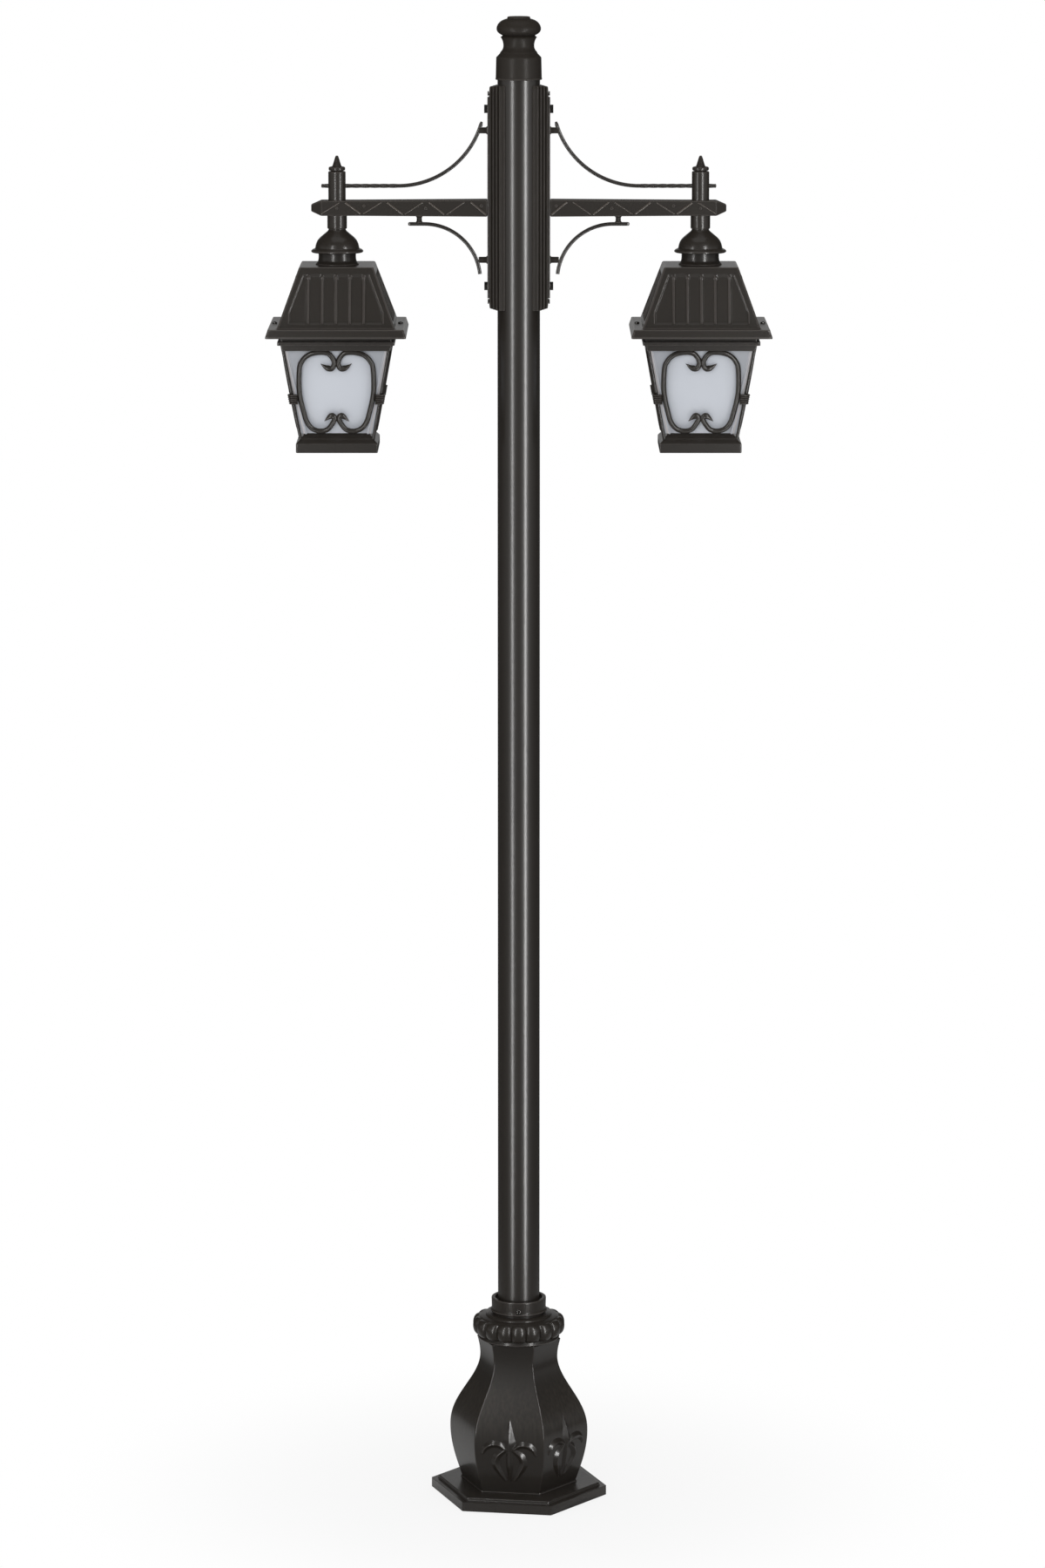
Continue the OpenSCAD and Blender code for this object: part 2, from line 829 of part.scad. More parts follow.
// The two stubs that carry the rods from the back plate, and the waisted post between arm and brace
module stubs() {
    post_share = (brace_post_x - stub_d / 2 - arm_root_x) / (arm_level_x - arm_root_x);
    post_top = arm_z - arm_root_h / 2 + (arm_root_h - arm_tip_h) / 2 * post_share - fit;
    post_h = post_top - brace_z;
    stub_r = stub_d / 2;
    color(paint)
        difference() {
            union() {
                translate([arm_root_x, 0, stay_stub_z]) bar_x(stub_r, stay_stub_x - arm_root_x);
                translate([arm_root_x, 0, brace_stub_z]) bar_x(stub_r, brace_stub_x - arm_root_x);
                translate([brace_post_x, 0, brace_z])
                    rotate_extrude()
                        polygon([
                            [0, 0], [stub_r, 0], [stub_r, 0.3 * post_h], [0.8 * stub_r, 0.55 * post_h],
                            [stub_r, 0.8 * post_h], [stub_r, post_h], [0, post_h]
                        ]);
            }
            stay_rod(rod_r + fit);
            brace_rod(rod_r + fit);
        }
}

// Hangers, at a lantern's axis

module hanger_post() {
    color(paint)
        difference() {
            translate([0, 0, arm_top_z]) cylinder(d = post_d, h = post_h);
            translate([0, 0, arm_top_z - eps]) cylinder(r = stem_r + fit, h = post_thread + eps);
            translate([0, 0, arm_top_z + post_h - spigot_h]) cylinder(r = spigot_r + fit, h = spigot_h + eps);
            translate([-post_d, 0, stay_z]) bar_x(rod_r + fit, 2 * post_d);
        }
}

module hanger_tube() {
    color(paint) translate([0, 0, dome_top_z]) tube(tube_d / 2, stem_r + fit, tube_h);
}

// The stem: a hollow threaded rod with a slot on its pole side, where the cable enters inside the arm
module stem_rod() {
    slot_w = cable_d + 1;
    slot_top = arm_z + cable_d / 2 + 1;
    slot_foot = arm_z - cable_bend_r - cable_d / 2;
    color(steel)
        difference() {
            translate([0, 0, stem_end_z])
                tube(stem_r, stem_bore_d / 2, arm_top_z + post_thread - stem_end_z - fit);
            translate([-stem_d, -slot_w / 2, slot_foot]) cube([stem_d, slot_w, slot_top - slot_foot]);
        }
}

module finial() {
    disc_r = finial_d / 2;
    disc_h = 9.5;
    color(paint)
        translate([0, 0, arm_top_z + post_h])
            rotate_extrude()
                polygon([
                    [0, -spigot_h + eps], [spigot_r, -spigot_h + eps], [spigot_r, 0], [0.84 * disc_r, 0],
                    [0.84 * disc_r, 4], [disc_r, 5], [disc_r, 8], [0.9 * disc_r, disc_h],
                    [0.53 * disc_r, disc_h], [0.4 * disc_r, disc_h + 0.3 * spike_h],
                    [0.24 * disc_r, disc_h + 0.7 * spike_h], [0.1 * disc_r, disc_h + spike_h],
                    [0, disc_h + spike_h]
                ]);
}

// The dome: a spun cap with a rounded ring, a neck and a flared foot, hollow inside
module dome() {
    wall = 3;
    cap_h = 0.5 * dome_h;
    neck_r = 0.89 * dome_r;
    foot_r = 1.06 * dome_r;
    ring_half = 4;
    head_r = 0.34 * dome_r;
    cap = [
        for (a = [0 : 10 : 90])
            [head_r + (dome_r - head_r) * sin(a), dome_h - cap_h * (1 - cos(a))]
    ];
    ring_z = dome_h - cap_h - ring_half;
    ring_centre_r = dome_ring_r - ring_half;
    ring = [
        for (a = [80 : -20 : -80])
            [ring_centre_r + ring_half * cos(a), ring_z + ring_half * sin(a)]
    ];
    color(paint)
        translate([0, 0, roof_top_z])
            difference() {
                rotate_extrude()
                    polygon(concat(
                        [[0, dome_h]], cap, ring,
                        [[neck_r, ring_z - ring_half], [neck_r + 1, 4], [foot_r, 2], [foot_r, 0], [0, 0]]
                    ));
                translate([0, 0, -eps]) cylinder(r = neck_r - wall, h = dome_h - cap_h - 2 * wall + eps);
                translate([0, 0, -eps]) cylinder(r = stem_r + fit, h = dome_h + 2 * eps);
            }
}

module roof_nut() {
    color(steel)
        translate([0, 0, roof_top_z - top_plate_t - washer_t - nut_h])
            difference() {
                union() {
                    cylinder(r = nut_r, h = nut_h, $fn = 6);
                    translate([0, 0, nut_h]) cylinder(r = washer_r, h = washer_t);
                }
                translate([0, 0, -eps]) cylinder(r = stem_r + fit, h = nut_h + washer_t + 2 * eps);
            }
}

// Lantern roof, at a lantern's axis

// One roof panel's recess, with the ribs left standing
module panel_recess() {
    foot_hw = roof_foot_hw - panel_edge;
    head_hw = roof_top_hw - panel_head_edge;
    head = panel_l - panel_head;
    outline = [
        [-foot_hw, panel_foot], [foot_hw, panel_foot], [foot_hw, panel_foot + panel_upright],
        [head_hw, head], [-head_hw, head], [-foot_hw, panel_foot + panel_upright]
    ];
    difference() {
        linear_extrude(2 * panel_depth, center = true) polygon(outline);
        for (i = [0 : rib_count - 1])
            translate([(i - (rib_count - 1) / 2) * rib_pitch - rib_w / 2, 0, -2 * panel_depth])
                cube([rib_w, panel_l, 4 * panel_depth]);
    }
}

module brim_screw_places() {
    for (x = [-screw_x, screw_x]) translate([x, 0, 0]) children();
}

module roof() {
    hood_head_hw = roof_top_hw - roof_wall;
    hood_foot_hw = roof_foot_hw - roof_wall - panel_depth;
    color(paint)
        difference() {
            union() {
                translate([0, 0, brim_top_z]) tapered_block(roof_foot_hw, roof_top_hw, roof_h);
                translate([0, 0, brim_z]) tapered_block(brim_hw + brim_flare, brim_hw, brim_h);
            }
            translate([0, 0, brim_top_z - ledge_t - eps])
                tapered_block(hood_foot_hw, hood_head_hw - panel_depth, roof_h - top_plate_t + ledge_t + eps);
            translate([0, 0, brim_z - eps]) square_block(skirt_hw, brim_h - ledge_t + eps);
            four_sides()
                translate([0, -roof_foot_hw, brim_top_z]) rotate([90 - roof_slope, 0, 0]) panel_recess();
            translate([0, 0, roof_top_z - roof_h]) cylinder(r = stem_r + fit, h = 2 * roof_h);
            brim_screw_places()
                translate([0, 0, brim_z]) cylinder(d = brim_screw_d + 2 * fit, h = brim_h + eps);
        }
}

module brim_screws() {
    head_h = 0.6 * brim_screw_d;
    length = ledge_t + seal_t + flange_t;
    color(dark)
        brim_screw_places() {
            translate([0, 0, brim_top_z - length]) cylinder(d = brim_screw_d, h = length);
            translate([0, 0, brim_top_z]) cylinder(d = 1.8 * brim_screw_d, h = head_h);
        }
}

module seal() {
    color(dark)
        translate([0, 0, seal_z])
            difference() {
                square_block(skirt_hw - fit, seal_t);
                translate([0, 0, -eps]) square_block(roof_foot_hw, seal_t + 2 * eps);
                brim_screw_places()
                    translate([0, 0, -eps]) cylinder(d = brim_screw_d + 2 * fit, h = seal_t + 2 * eps);
            }
}

module lampholder() {
    cap_depth = 0.5 * holder_h;
    socket_bore_r = lamp_cap_r + 0.6;
    color("#d8d5cc")
        difference() {
            translate([0, 0, holder_z]) cylinder(d = holder_d, h = holder_h);
            translate([0, 0, stem_end_z]) cylinder(r = stem_r + fit, h = holder_h);
            translate([0, 0, holder_z - eps]) cylinder(r = socket_bore_r, h = cap_depth + eps);
            translate([0, 0, holder_z]) cylinder(r = cable_d / 2 + 1, h = holder_h);
        }
}

// The lamp: a screw cap in the holder, a tapering neck and a round globe
module lamp() {
    cap_r = lamp_cap_r;
    cap_h = 0.42 * holder_h;
    globe_z = -lamp_l + globe_r;
    join = asin(cap_r / globe_r * 1.15);
    globe = [for (a = [-90 : 10 : 90 - join]) [globe_r * cos(a), globe_z + globe_r * sin(a)]];
    color(opal)
        translate([0, 0, holder_z])
            rotate_extrude()
                polygon(concat(globe, [[cap_r + 1.5, -12], [cap_r, -3], [cap_r, cap_h], [0, cap_h]]));
}

// A lantern's feed cable, on the right: up the pole, along the arm and down the stem to the lampholder
module cable() {
    r = cable_d / 2;
    foot_z = terminal_z + terminal_h;
    end_z = holder_z + 0.6 * holder_h;
    color(dark) {
        translate([cable_x, 0, foot_z]) cylinder(r = r, h = arm_z - cable_bend_r - foot_z);
        translate([cable_x + cable_bend_r, 0, arm_z - cable_bend_r])
            rotate([90, 0, 0])
                rotate([0, 0, 90])
                    rotate_extrude(angle = 90) translate([cable_bend_r, 0]) circle(r = r);
        translate([cable_x + cable_bend_r, 0, arm_z]) bar_x(r, arm_reach - cable_x - 2 * cable_bend_r);
        translate([arm_reach - cable_bend_r, 0, arm_z - cable_bend_r])
            rotate([90, 0, 0])
                rotate_extrude(angle = 90) translate([cable_bend_r, 0]) circle(r = r);
        translate([arm_reach, 0, end_z]) cylinder(r = r, h = arm_z - cable_bend_r - end_z);
    }
}

// Lantern cage, at a lantern's axis

function body_hw(z) = body_foot_hw + (body_top_hw - body_foot_hw) * (z - body_z) / body_h;

// A slab or block that follows the glazed body's taper between two heights, drawn in by an inset
module body_slab(from_z, to_z, inset) {
    translate([0, 0, from_z]) tapered_slab(body_hw(from_z) - inset, body_hw(to_z) - inset, to_z - from_z);
}

module body_block(from_z, to_z, inset) {
    translate([0, 0, from_z]) tapered_block(body_hw(from_z) - inset, body_hw(to_z) - inset, to_z - from_z);
}

module cage() {
    color(paint)
        difference() {
            union() {
                body_block(body_z, body_top_z + lip_h / 2, 0);
                translate([0, 0, body_top_z]) square_block(lip_hw, lip_h);
                translate([0, 0, body_top_z]) square_block(neck_hw, flange_z - body_top_z + flange_t);
                translate([0, 0, flange_z]) square_block(flange_hw, flange_t);
            }
            body_block(body_z - eps, body_top_z, cage_wall);
            translate([0, 0, body_top_z - eps]) square_block(mouth_hw, brim_top_z - body_top_z);
            body_slab(body_z - eps, window_z + window_h, corner_w);
            rotate([0, 0, 90]) body_slab(body_z - eps, window_z + window_h, corner_w);
            plinth_solid();
            brim_screw_places()
                translate([0, 0, flange_z - eps])
                    cylinder(d = brim_screw_d + 2 * thread_gap, h = flange_t + 2 * eps);
        }
}

// A pair of mirrored scroll bars lies on each side of the cage, welded to its rails
module scrolls() {
    path = spline([for (p = scroll_points) [p[0] * scroll_span, p[1] * window_l]], scroll_steps);
    last = len(path) - 1;
    edge = [for (i = [0 : last]) path[i] + path_side(path, i) * scroll_half_width(i / last)];
    back = [for (i = [last : -1 : 0]) path[i] - path_side(path, i) * scroll_half_width(i / last)];
    color(paint)
        four_sides()
            translate([0, -body_hw(window_z), window_z])
                rotate([90 + body_slope, 0, 0])
                    for (side = [0, 1])
                        mirror([side, 0, 0]) linear_extrude(scroll_t) polygon(concat(edge, back));
}

// A ribbed band clips round each corner post, beside the scrolls
module corner_bands() {
    pitch = band_h / band_rings;
    color(paint)
        difference() {
            for (i = [0 : band_rings - 1]) {
                body_block(band_z + i * pitch, band_z + (i + 0.75) * pitch, -band_t);
                body_block(band_z + i * pitch, band_z + min(i + 1, band_rings - 0.25) * pitch, -0.6 * band_t);
            }
            body_block(band_z - eps, band_z + band_h + eps, 0);
            body_slab(band_z - eps, band_z + band_h + eps, band_reach);
            rotate([0, 0, 90]) body_slab(band_z - eps, band_z + band_h + eps, band_reach);
        }
}

// Four panes stand inside the cage on the plinth's bevel, the side ones between the front and back ones
module panes() {
    outer = cage_wall + glass_gap;
    inner = outer + glass_t;
    top_z = body_top_z - glass_gap;
    color(opal)
        difference() {
            union() {
                difference() {
                    body_block(body_z, top_z, outer);
                    rotate([0, 0, 90]) body_slab(body_z - eps, top_z + eps, inner);
                }
                difference() {
                    intersection() {
                        body_slab(body_z, top_z, outer);
                        rotate([0, 0, 90]) body_slab(body_z, top_z, inner + glass_gap);
                    }
                    body_slab(body_z - eps, top_z + eps, inner);
                }
            }
            plinth_solid();
        }
}

module plinth_solid() {
    translate([0, 0, plinth_z]) square_block(plinth_hw, plinth_h);
    translate([0, 0, body_z]) tapered_block(plinth_hw, plinth_hw - bevel_w, bevel_h);
}

// The plinth is a tray, open to the lantern above
module plinth() {
    tray_hw = plinth_hw - plinth_wall;
    mouth = tray_hw - bevel_w;
    color(paint)
        difference() {
            plinth_solid();
            translate([0, 0, plinth_z + plinth_wall]) square_block(tray_hw, plinth_h - 2 * plinth_wall);
            translate([0, 0, body_z - plinth_wall - eps])
                tapered_block(tray_hw, mouth, bevel_h + plinth_wall + 2 * eps);
        }
}

foot_plate();
pole_tube();
pole_socket();
access_door();
door_screws();
terminal_block();
pole_cap();
base_cover();
beaded_ring();
pole_collar();
collar_screws();
bracket_bolts();
on_left() bracket();  // left_bracket
on_left() back_plate();  // left_back_plate
on_left() arm();  // left_arm
on_left() stay();  // left_stay
on_left() brace();  // left_brace
on_left() stubs();  // left_stubs
on_left() at_lantern() stem_rod();  // left_stem_rod
on_left() at_lantern() hanger_post();  // left_hanger_post
on_left() at_lantern() hanger_tube();  // left_hanger_tube
on_left() at_lantern() finial();  // left_finial
on_left() at_lantern() dome();  // left_dome
on_left() at_lantern() roof();  // left_roof
on_left() at_lantern() roof_nut();  // left_roof_nut
on_left() at_lantern() brim_screws();  // left_brim_screws
on_left() at_lantern() seal();  // left_seal
on_left() at_lantern() lampholder();  // left_lampholder
on_left() at_lantern() lamp();  // left_lamp
on_left() cable();  // left_cable
on_left() at_lantern() cage();  // left_cage
on_left() at_lantern() scrolls();  // left_scrolls
on_left() at_lantern() corner_bands();  // left_corner_bands
on_left() at_lantern() panes();  // left_panes
on_left() at_lantern() plinth();  // left_plinth
on_right() bracket();  // right_bracket
on_right() back_plate();  // right_back_plate
on_right() arm();  // right_arm
on_right() stay();  // right_stay
on_right() brace();  // right_brace
on_right() stubs();  // right_stubs
on_right() at_lantern() stem_rod();  // right_stem_rod
on_right() at_lantern() hanger_post();  // right_hanger_post
on_right() at_lantern() hanger_tube();  // right_hanger_tube
on_right() at_lantern() finial();  // right_finial
on_right() at_lantern() dome();  // right_dome
on_right() at_lantern() roof();  // right_roof
on_right() at_lantern() roof_nut();  // right_roof_nut
on_right() at_lantern() brim_screws();  // right_brim_screws
on_right() at_lantern() seal();  // right_seal
on_right() at_lantern() lampholder();  // right_lampholder
on_right() at_lantern() lamp();  // right_lamp
on_right() cable();  // right_cable
on_right() at_lantern() cage();  // right_cage
on_right() at_lantern() scrolls();  // right_scrolls
on_right() at_lantern() corner_bands();  // right_corner_bands
on_right() at_lantern() panes();  // right_panes
on_right() at_lantern() plinth();  // right_plinth
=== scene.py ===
"""Twin-arm lamp post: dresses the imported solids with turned, cast, swept and glazed surfaces."""

import math

import bpy
import numpy as np
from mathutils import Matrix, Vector


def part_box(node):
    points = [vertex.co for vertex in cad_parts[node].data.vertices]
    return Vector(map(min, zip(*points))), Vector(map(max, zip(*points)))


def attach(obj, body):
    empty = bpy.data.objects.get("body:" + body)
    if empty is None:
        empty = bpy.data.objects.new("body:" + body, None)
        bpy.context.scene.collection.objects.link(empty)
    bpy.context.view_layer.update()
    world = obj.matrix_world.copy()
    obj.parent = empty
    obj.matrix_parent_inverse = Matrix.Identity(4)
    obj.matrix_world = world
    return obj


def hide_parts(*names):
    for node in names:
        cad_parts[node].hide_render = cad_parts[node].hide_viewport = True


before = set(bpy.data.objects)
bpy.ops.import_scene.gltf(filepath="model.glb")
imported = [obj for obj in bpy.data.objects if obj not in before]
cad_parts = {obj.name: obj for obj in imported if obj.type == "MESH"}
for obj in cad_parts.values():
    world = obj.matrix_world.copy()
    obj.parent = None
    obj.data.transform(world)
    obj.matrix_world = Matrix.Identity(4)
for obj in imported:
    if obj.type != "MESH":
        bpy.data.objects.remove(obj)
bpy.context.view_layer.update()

bl_info = {
    "name": "Twin-arm lamp post",
    "version": (1, 0, 0),
    "blender": (4, 5, 0),
    "location": "3D View > Sidebar > Lamp post",
    "description": "Dresses a lamp post with two hanging lanterns and sets its stage",
    "category": "Object",
}

MM = 0.001
# Width of a small rounded edge, where the paint wears and a painted highlight lightens it
WEAR_AND_HIGHLIGHT_EDGE = 1.4 * MM
SIDES = {"left": -1, "right": 1}
QUARTERS = np.arange(4) * math.pi / 2


# Sizes read from the frame, in metres

def corners(node):
    """The lowest and highest corner of a CAD node, as arrays."""
    low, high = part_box(node)
    return np.array(low), np.array(high)


POLE_LOW, POLE_HIGH = corners("pole_tube")
POLE_R = POLE_HIGH[0]
PLATE_TOP = POLE_LOW[2]
CAP_Z = corners("pole_cap")[0][2]
COVER_TOP = corners("base_cover")[1][2]
RING_TOP = corners("beaded_ring")[1][2]
COLLAR_HIGH = corners("pole_collar")[1]
COLLAR_SCREW_LOW, COLLAR_SCREW_HIGH = corners("collar_screws")
BRACKET_LOW, BRACKET_HIGH = corners("right_bracket")
BACK_LOW, BACK_HIGH = corners("right_back_plate")
ARM_LOW, ARM_HIGH = corners("right_arm")
ARM_Z = (ARM_LOW[2] + ARM_HIGH[2]) / 2
STAY_LOW, STAY_HIGH = corners("right_stay")
BRACE_LOW, BRACE_HIGH = corners("right_brace")
ROD_R = STAY_HIGH[1]
STUB_LOW, STUB_HIGH = corners("right_stubs")
POST_LOW, POST_HIGH = corners("right_hanger_post")
TUBE_LOW, TUBE_HIGH = corners("right_hanger_tube")
FINIAL_HIGH = corners("right_finial")[1]
DOME_LOW, DOME_HIGH = corners("right_dome")
ROOF_LOW, ROOF_HIGH = corners("right_roof")
SCREW_LOW, SCREW_HIGH = corners("right_brim_screws")
CAGE_LOW, CAGE_HIGH = corners("right_cage")
BAND_LOW, BAND_HIGH = corners("right_corner_bands")
PLINTH_LOW, PLINTH_HIGH = corners("right_plinth")
PLINTH_HW = (PLINTH_HIGH[0] - PLINTH_LOW[0]) / 2
HOLDER_LOW, HOLDER_HIGH = corners("right_lampholder")
LAMP_LOW, LAMP_HIGH = corners("right_lamp")
AXIS_X = (POST_LOW[0] + POST_HIGH[0]) / 2
ARM_TIP_X = AXIS_X + 0.028
LANTERN = np.array([AXIS_X, 0, 0])


def on_axis(height):
    """The point of the right lantern's axis at a height."""
    return AXIS_X, 0, height


# Properties

def length(label, text, default):
    """A length property in metres."""
    return bpy.props.FloatProperty(name=label, description=text, default=default, min=0, unit="LENGTH")


def angle(label, text, degrees):
    """An angle property, whose default is given in degrees."""
    default = math.radians(degrees)
    return bpy.props.FloatProperty(name=label, description=text, default=default, subtype="ANGLE")


def share(label, text, default):
    """A plain number property between nought and one."""
    return bpy.props.FloatProperty(name=label, description=text, default=default, min=0, max=1)


def number(label, text, default):
    """A property that counts forms round or along a piece."""
    return bpy.props.IntProperty(name=label, description=text, default=default, min=3)


def tint(label, text, default):
    """A colour property."""
    return bpy.props.FloatVectorProperty(name=label, description=text, default=default, subtype="COLOR")


class LampPostSizes(bpy.types.PropertyGroup):
    """Sizes of the forms that the frame's boxes don't give."""

    cover_turn: angle("Cover turn", "Turn of the hexagonal foot about the pole", -9)
    foot_r: length("Foot radius", "Corner radius of the base cover at its foot", 0.105)
    belly_r: length("Belly radius", "Corner radius of the base cover at its widest", 0.128)
    waist_r: length("Waist radius", "Corner radius of the base cover at its waist", 0.072)
    rim_r: length("Rim radius", "Corner radius of the base cover at its top", 0.078)
    belly_h: length("Belly height", "Height of the belly above the plate", 0.098)
    waist_h: length("Waist height", "Height of the waist above the plate", 0.236)
    lily_h: length("Lily height", "Height of the raised lily on each decorated face of the cover", 0.115)
    lily_rise: length("Lily rise", "Height of the lily's middle above the plate", 0.083)
    bead_count: number("Beads", "Beads round the ring", 18)
    bead_rise: length("Bead rise", "How far the beads swell out of the ring's rim", 0.0062)
    flute_step: length("Flute step", "Width and depth of the brackets' steps", 0.005)
    zigzag_period: length("Zigzag period", "Length of one zigzag along an arm", 0.0744)
    zigzag_r: length("Zigzag line", "Half-width of the bold strokes of the raised zigzag", 0.0019)
    stay_bend: length("Stay bend", "Radius of the stay's arc", 0.154)
    stay_sweep: angle("Stay sweep", "Angle of the stay's arc", 75)
    brace_bend: length("Brace bend", "Radius of the brace's arc", 0.100)
    brace_sweep: angle("Brace sweep", "Angle of the brace's arc", 84)
    brace_tail: length("Brace tail", "Straight end of the brace past its arc", 0.032)
    twist_pitch: length("Twist pitch", "Length of one full turn of the stay's twist", 0.066)
    roof_foot_hw: length("Roof foot", "Half-width of the roof's slope at its foot", 0.1045)
    roof_top_hw: length("Roof top", "Half-width of the roof's slope at its top", 0.066)
    brim_h: length("Brim height", "Height of the roof's brim", 0.016)
    brim_hw: length("Brim top", "Half-width of the brim's upper edge", 0.1205)
    panel_depth: length("Panel depth", "Depth of the roof's sunk panels", 0.0017)
    rib_w: length("Rib width", "Width of a rib in the roof's panels", 0.0067)
    rib_pitch: length("Rib pitch", "Distance from rib to rib", 0.0246)
    body_top_hw: length("Glazing top", "Half-width of the lantern's body at its top", 0.0985)
    body_foot_hw: length("Glazing foot", "Half-width of the lantern's body at its foot", 0.0665)
    body_h: length("Glazing height", "Height of the lantern's tapered body", 0.177)
    corner_w: length("Corner space", "Space that the scrolls leave at the corners of a face", 0.008)
    post_w: length("Corner posts", "Width of the lantern's corner posts", 0.006)
    rail_h: length("Rails", "Height of the rail above the glass", 0.010)
    scroll_w: length("Scroll width", "Width of a scroll bar", 0.0092)
    scroll_t: length("Scroll depth", "How far a scroll bar stands out of its line", 0.005)
    band_rings: number("Band rings", "Ribs on a corner band", 5)
    band_h: length("Band height", "Height of a corner band", 0.0180)
    band_reach: length("Band reach", "How far a corner band reaches along each face", 0.0120)
    plinth_h: length("Plinth height", "Height of the plinth's upright sides", 0.018)


class LampPostFinish(bpy.types.PropertyGroup):
    """Colours and finish of the lamp post."""

    paint: tint("Paint", "Dark bronze paint", (0.0235, 0.0187, 0.0142))
    # Pale colour of edges and ribs: paint rubbed thin, and a painted highlight
    wear_and_highlight: tint("Worn paint", "Paint rubbed thin on the edges", (0.105, 0.092, 0.084))
    # The lighter brown that the base cover turns to in a band above its widest line, streaked by brush marks
    brushed: tint("Brushed paint", "Paint brushed thin on the base cover", (0.060, 0.050, 0.038))
    glass: tint("Glass", "Opal glass", (0.70, 0.735, 0.80))
    # Painted highlight: the pale colour put on the glass along the lines where the panes meet
    rim: tint("Glass rim", "Opal glass at the edges of a pane", (0.84, 0.80, 0.80))
    # How far edges turn to the pale colour, as wear and as painted highlight
    wear_and_highlight_share: share("Wear", "How much the edges are rubbed", 0.45)


def sizes():
    """The sizes kept with the scene."""
    return bpy.context.scene.lamp_post_sizes


def finish():
    """The finish kept with the scene."""
    return bpy.context.scene.lamp_post_finish


# Lines and surfaces

def columns(*parts):
    """Arrays or numbers, spread to one shape and set side by side as the last axis."""
    return np.stack(np.broadcast_arrays(*parts), axis=-1)


def unit(ways):
    """Directions of length one."""
    return ways / np.linalg.norm(ways, axis=-1, keepdims=True)


def directions(line):
    """The direction of a line at each of its points."""
    return unit(np.gradient(line, axis=0))


def distances(line):
    """The distance of each point from the start, along the line."""
    return np.concatenate([[0], np.cumsum(np.linalg.norm(np.diff(line, axis=0), axis=1))])


def there_and_back(line):
    """The line's numbers, and then the same ones in reverse."""
    return np.concatenate([line, line[::-1]])


def progress(value, low, high):
    """How far a value has come from low to high: nought up to low and one from high."""
    return np.clip((value - low) / (high - low), 0, 1)


def smooth_step(part):
    """Nought below nought, one above one, and a smooth step between them."""
    part = np.clip(part, 0, 1)
    return part * part * (3 - 2 * part)


def smooth_line(points, steps):
    """A curve through the points: each span is the cubic whose ends run parallel to the neighbours' chord."""
    points = np.array(points, float)
    line = np.vstack([2 * points[0] - points[1], points, 2 * points[-1] - points[-2]])
    before, here, ahead, after = line[:-3, None], line[1:-2, None], line[2:-1, None], line[3:, None]
    along = (np.arange(steps) / steps)[None, :, None]
    curve = 2 * here + (ahead - before) * along
    curve = curve + (2 * before - 5 * here + 4 * ahead - after) * along ** 2
    curve = curve + (3 * here - before - 3 * ahead + after) * along ** 3
    return np.vstack([curve.reshape(-1, points.shape[1]) / 2, points[-1:]])


def rounded(line, at=(0, 0), steps=5):
    """A profile in metres from corners in millimetres past a point, each (across, up) or (across, up, cut).
    A corner with a cut is replaced by a quadratic curve that leaves one side that far before it and joins the
    other past it. A long straight stretch has a point close to each end, so that the wear and the painted
    highlight of its edges stay there."""
    most_of_side, shortest_stretch = 0.49, 4 * WEAR_AND_HIGHLIGHT_EDGE
    points = np.array([corner[:2] for corner in line], float) * MM + at
    cuts = [corner[2] * MM if len(corner) > 2 else 0.0 for corner in line]
    along = np.linspace(0, 1, steps)[:, None]
    runs = []
    for place, (point, cut) in enumerate(zip(points, cuts)):
        run = point[None]
        if cut > 0:
            back = points[place - 1] - point
            ahead = points[(place + 1) % len(points)] - point
            start = point + back * min(cut / np.linalg.norm(back), most_of_side)
            end = point + ahead * min(cut / np.linalg.norm(ahead), most_of_side)
            run = (1 - along) ** 2 * start + 2 * along * (1 - along) * point + along ** 2 * end
        if runs:
            gap = run[0] - runs[-1][-1]
            stretch = np.linalg.norm(gap)
            if stretch > shortest_stretch:
                close = WEAR_AND_HIGHLIGHT_EDGE / stretch
                runs.append(runs[-1][-1] + gap * np.array([[close], [1 - close]]))
        runs.append(run)
    return np.concatenate(runs)


def circle(count, radius=1.0):
    """A section of points on a circle."""
    around = np.linspace(0, 2 * math.pi, count, endpoint=False)
    return radius * columns(np.cos(around), np.sin(around))


def squarish(count, power):
    """A section between a circle and a square: the farther the power is from one, the squarer it is."""
    ring = circle(count)
    return np.sign(ring) * np.abs(ring) ** power


def half_oval(count, wide, tall):
    """The upper half of an oval, given by its half-width and its height."""
    turn = np.linspace(0, math.pi, count)
    return columns(wide * np.cos(turn), tall * np.sin(turn))


def outward(points, faces):
    """A closed part with its faces turned outwards: the volume under its triangles has to be positive."""
    volume = 0.0
    for face in faces:
        first = points[face[:, 0]]
        for place in range(1, face.shape[1] - 1):
            edges = np.cross(points[face[:, place]], points[face[:, place + 1]])
            volume += np.einsum("ij,ij->", first, edges)
    if volume < 0:
        faces = [face[:, ::-1] for face in faces]
    return points, faces


def surface(grid, loop=False):
    """A closed part from a grid of points. Each row is a ring and is joined to the row after it. With loop
    the last row is joined to the first, and without it both end rows are closed by a flat face."""
    rows, count = grid.shape[:2]
    index = np.arange(rows * count).reshape(rows, count)
    beside = np.roll(index, -1, axis=1)
    if loop:
        quads = np.stack([index, beside, np.roll(beside, -1, axis=0), np.roll(index, -1, axis=0)], axis=-1)
        faces = [quads.reshape(-1, 4)]
    else:
        quads = np.stack([index[:-1], beside[:-1], beside[1:], index[1:]], axis=-1)
        faces = [quads.reshape(-1, 4), index[:1, ::-1], index[-1:]]
    return outward(grid.reshape(-1, 3), faces)


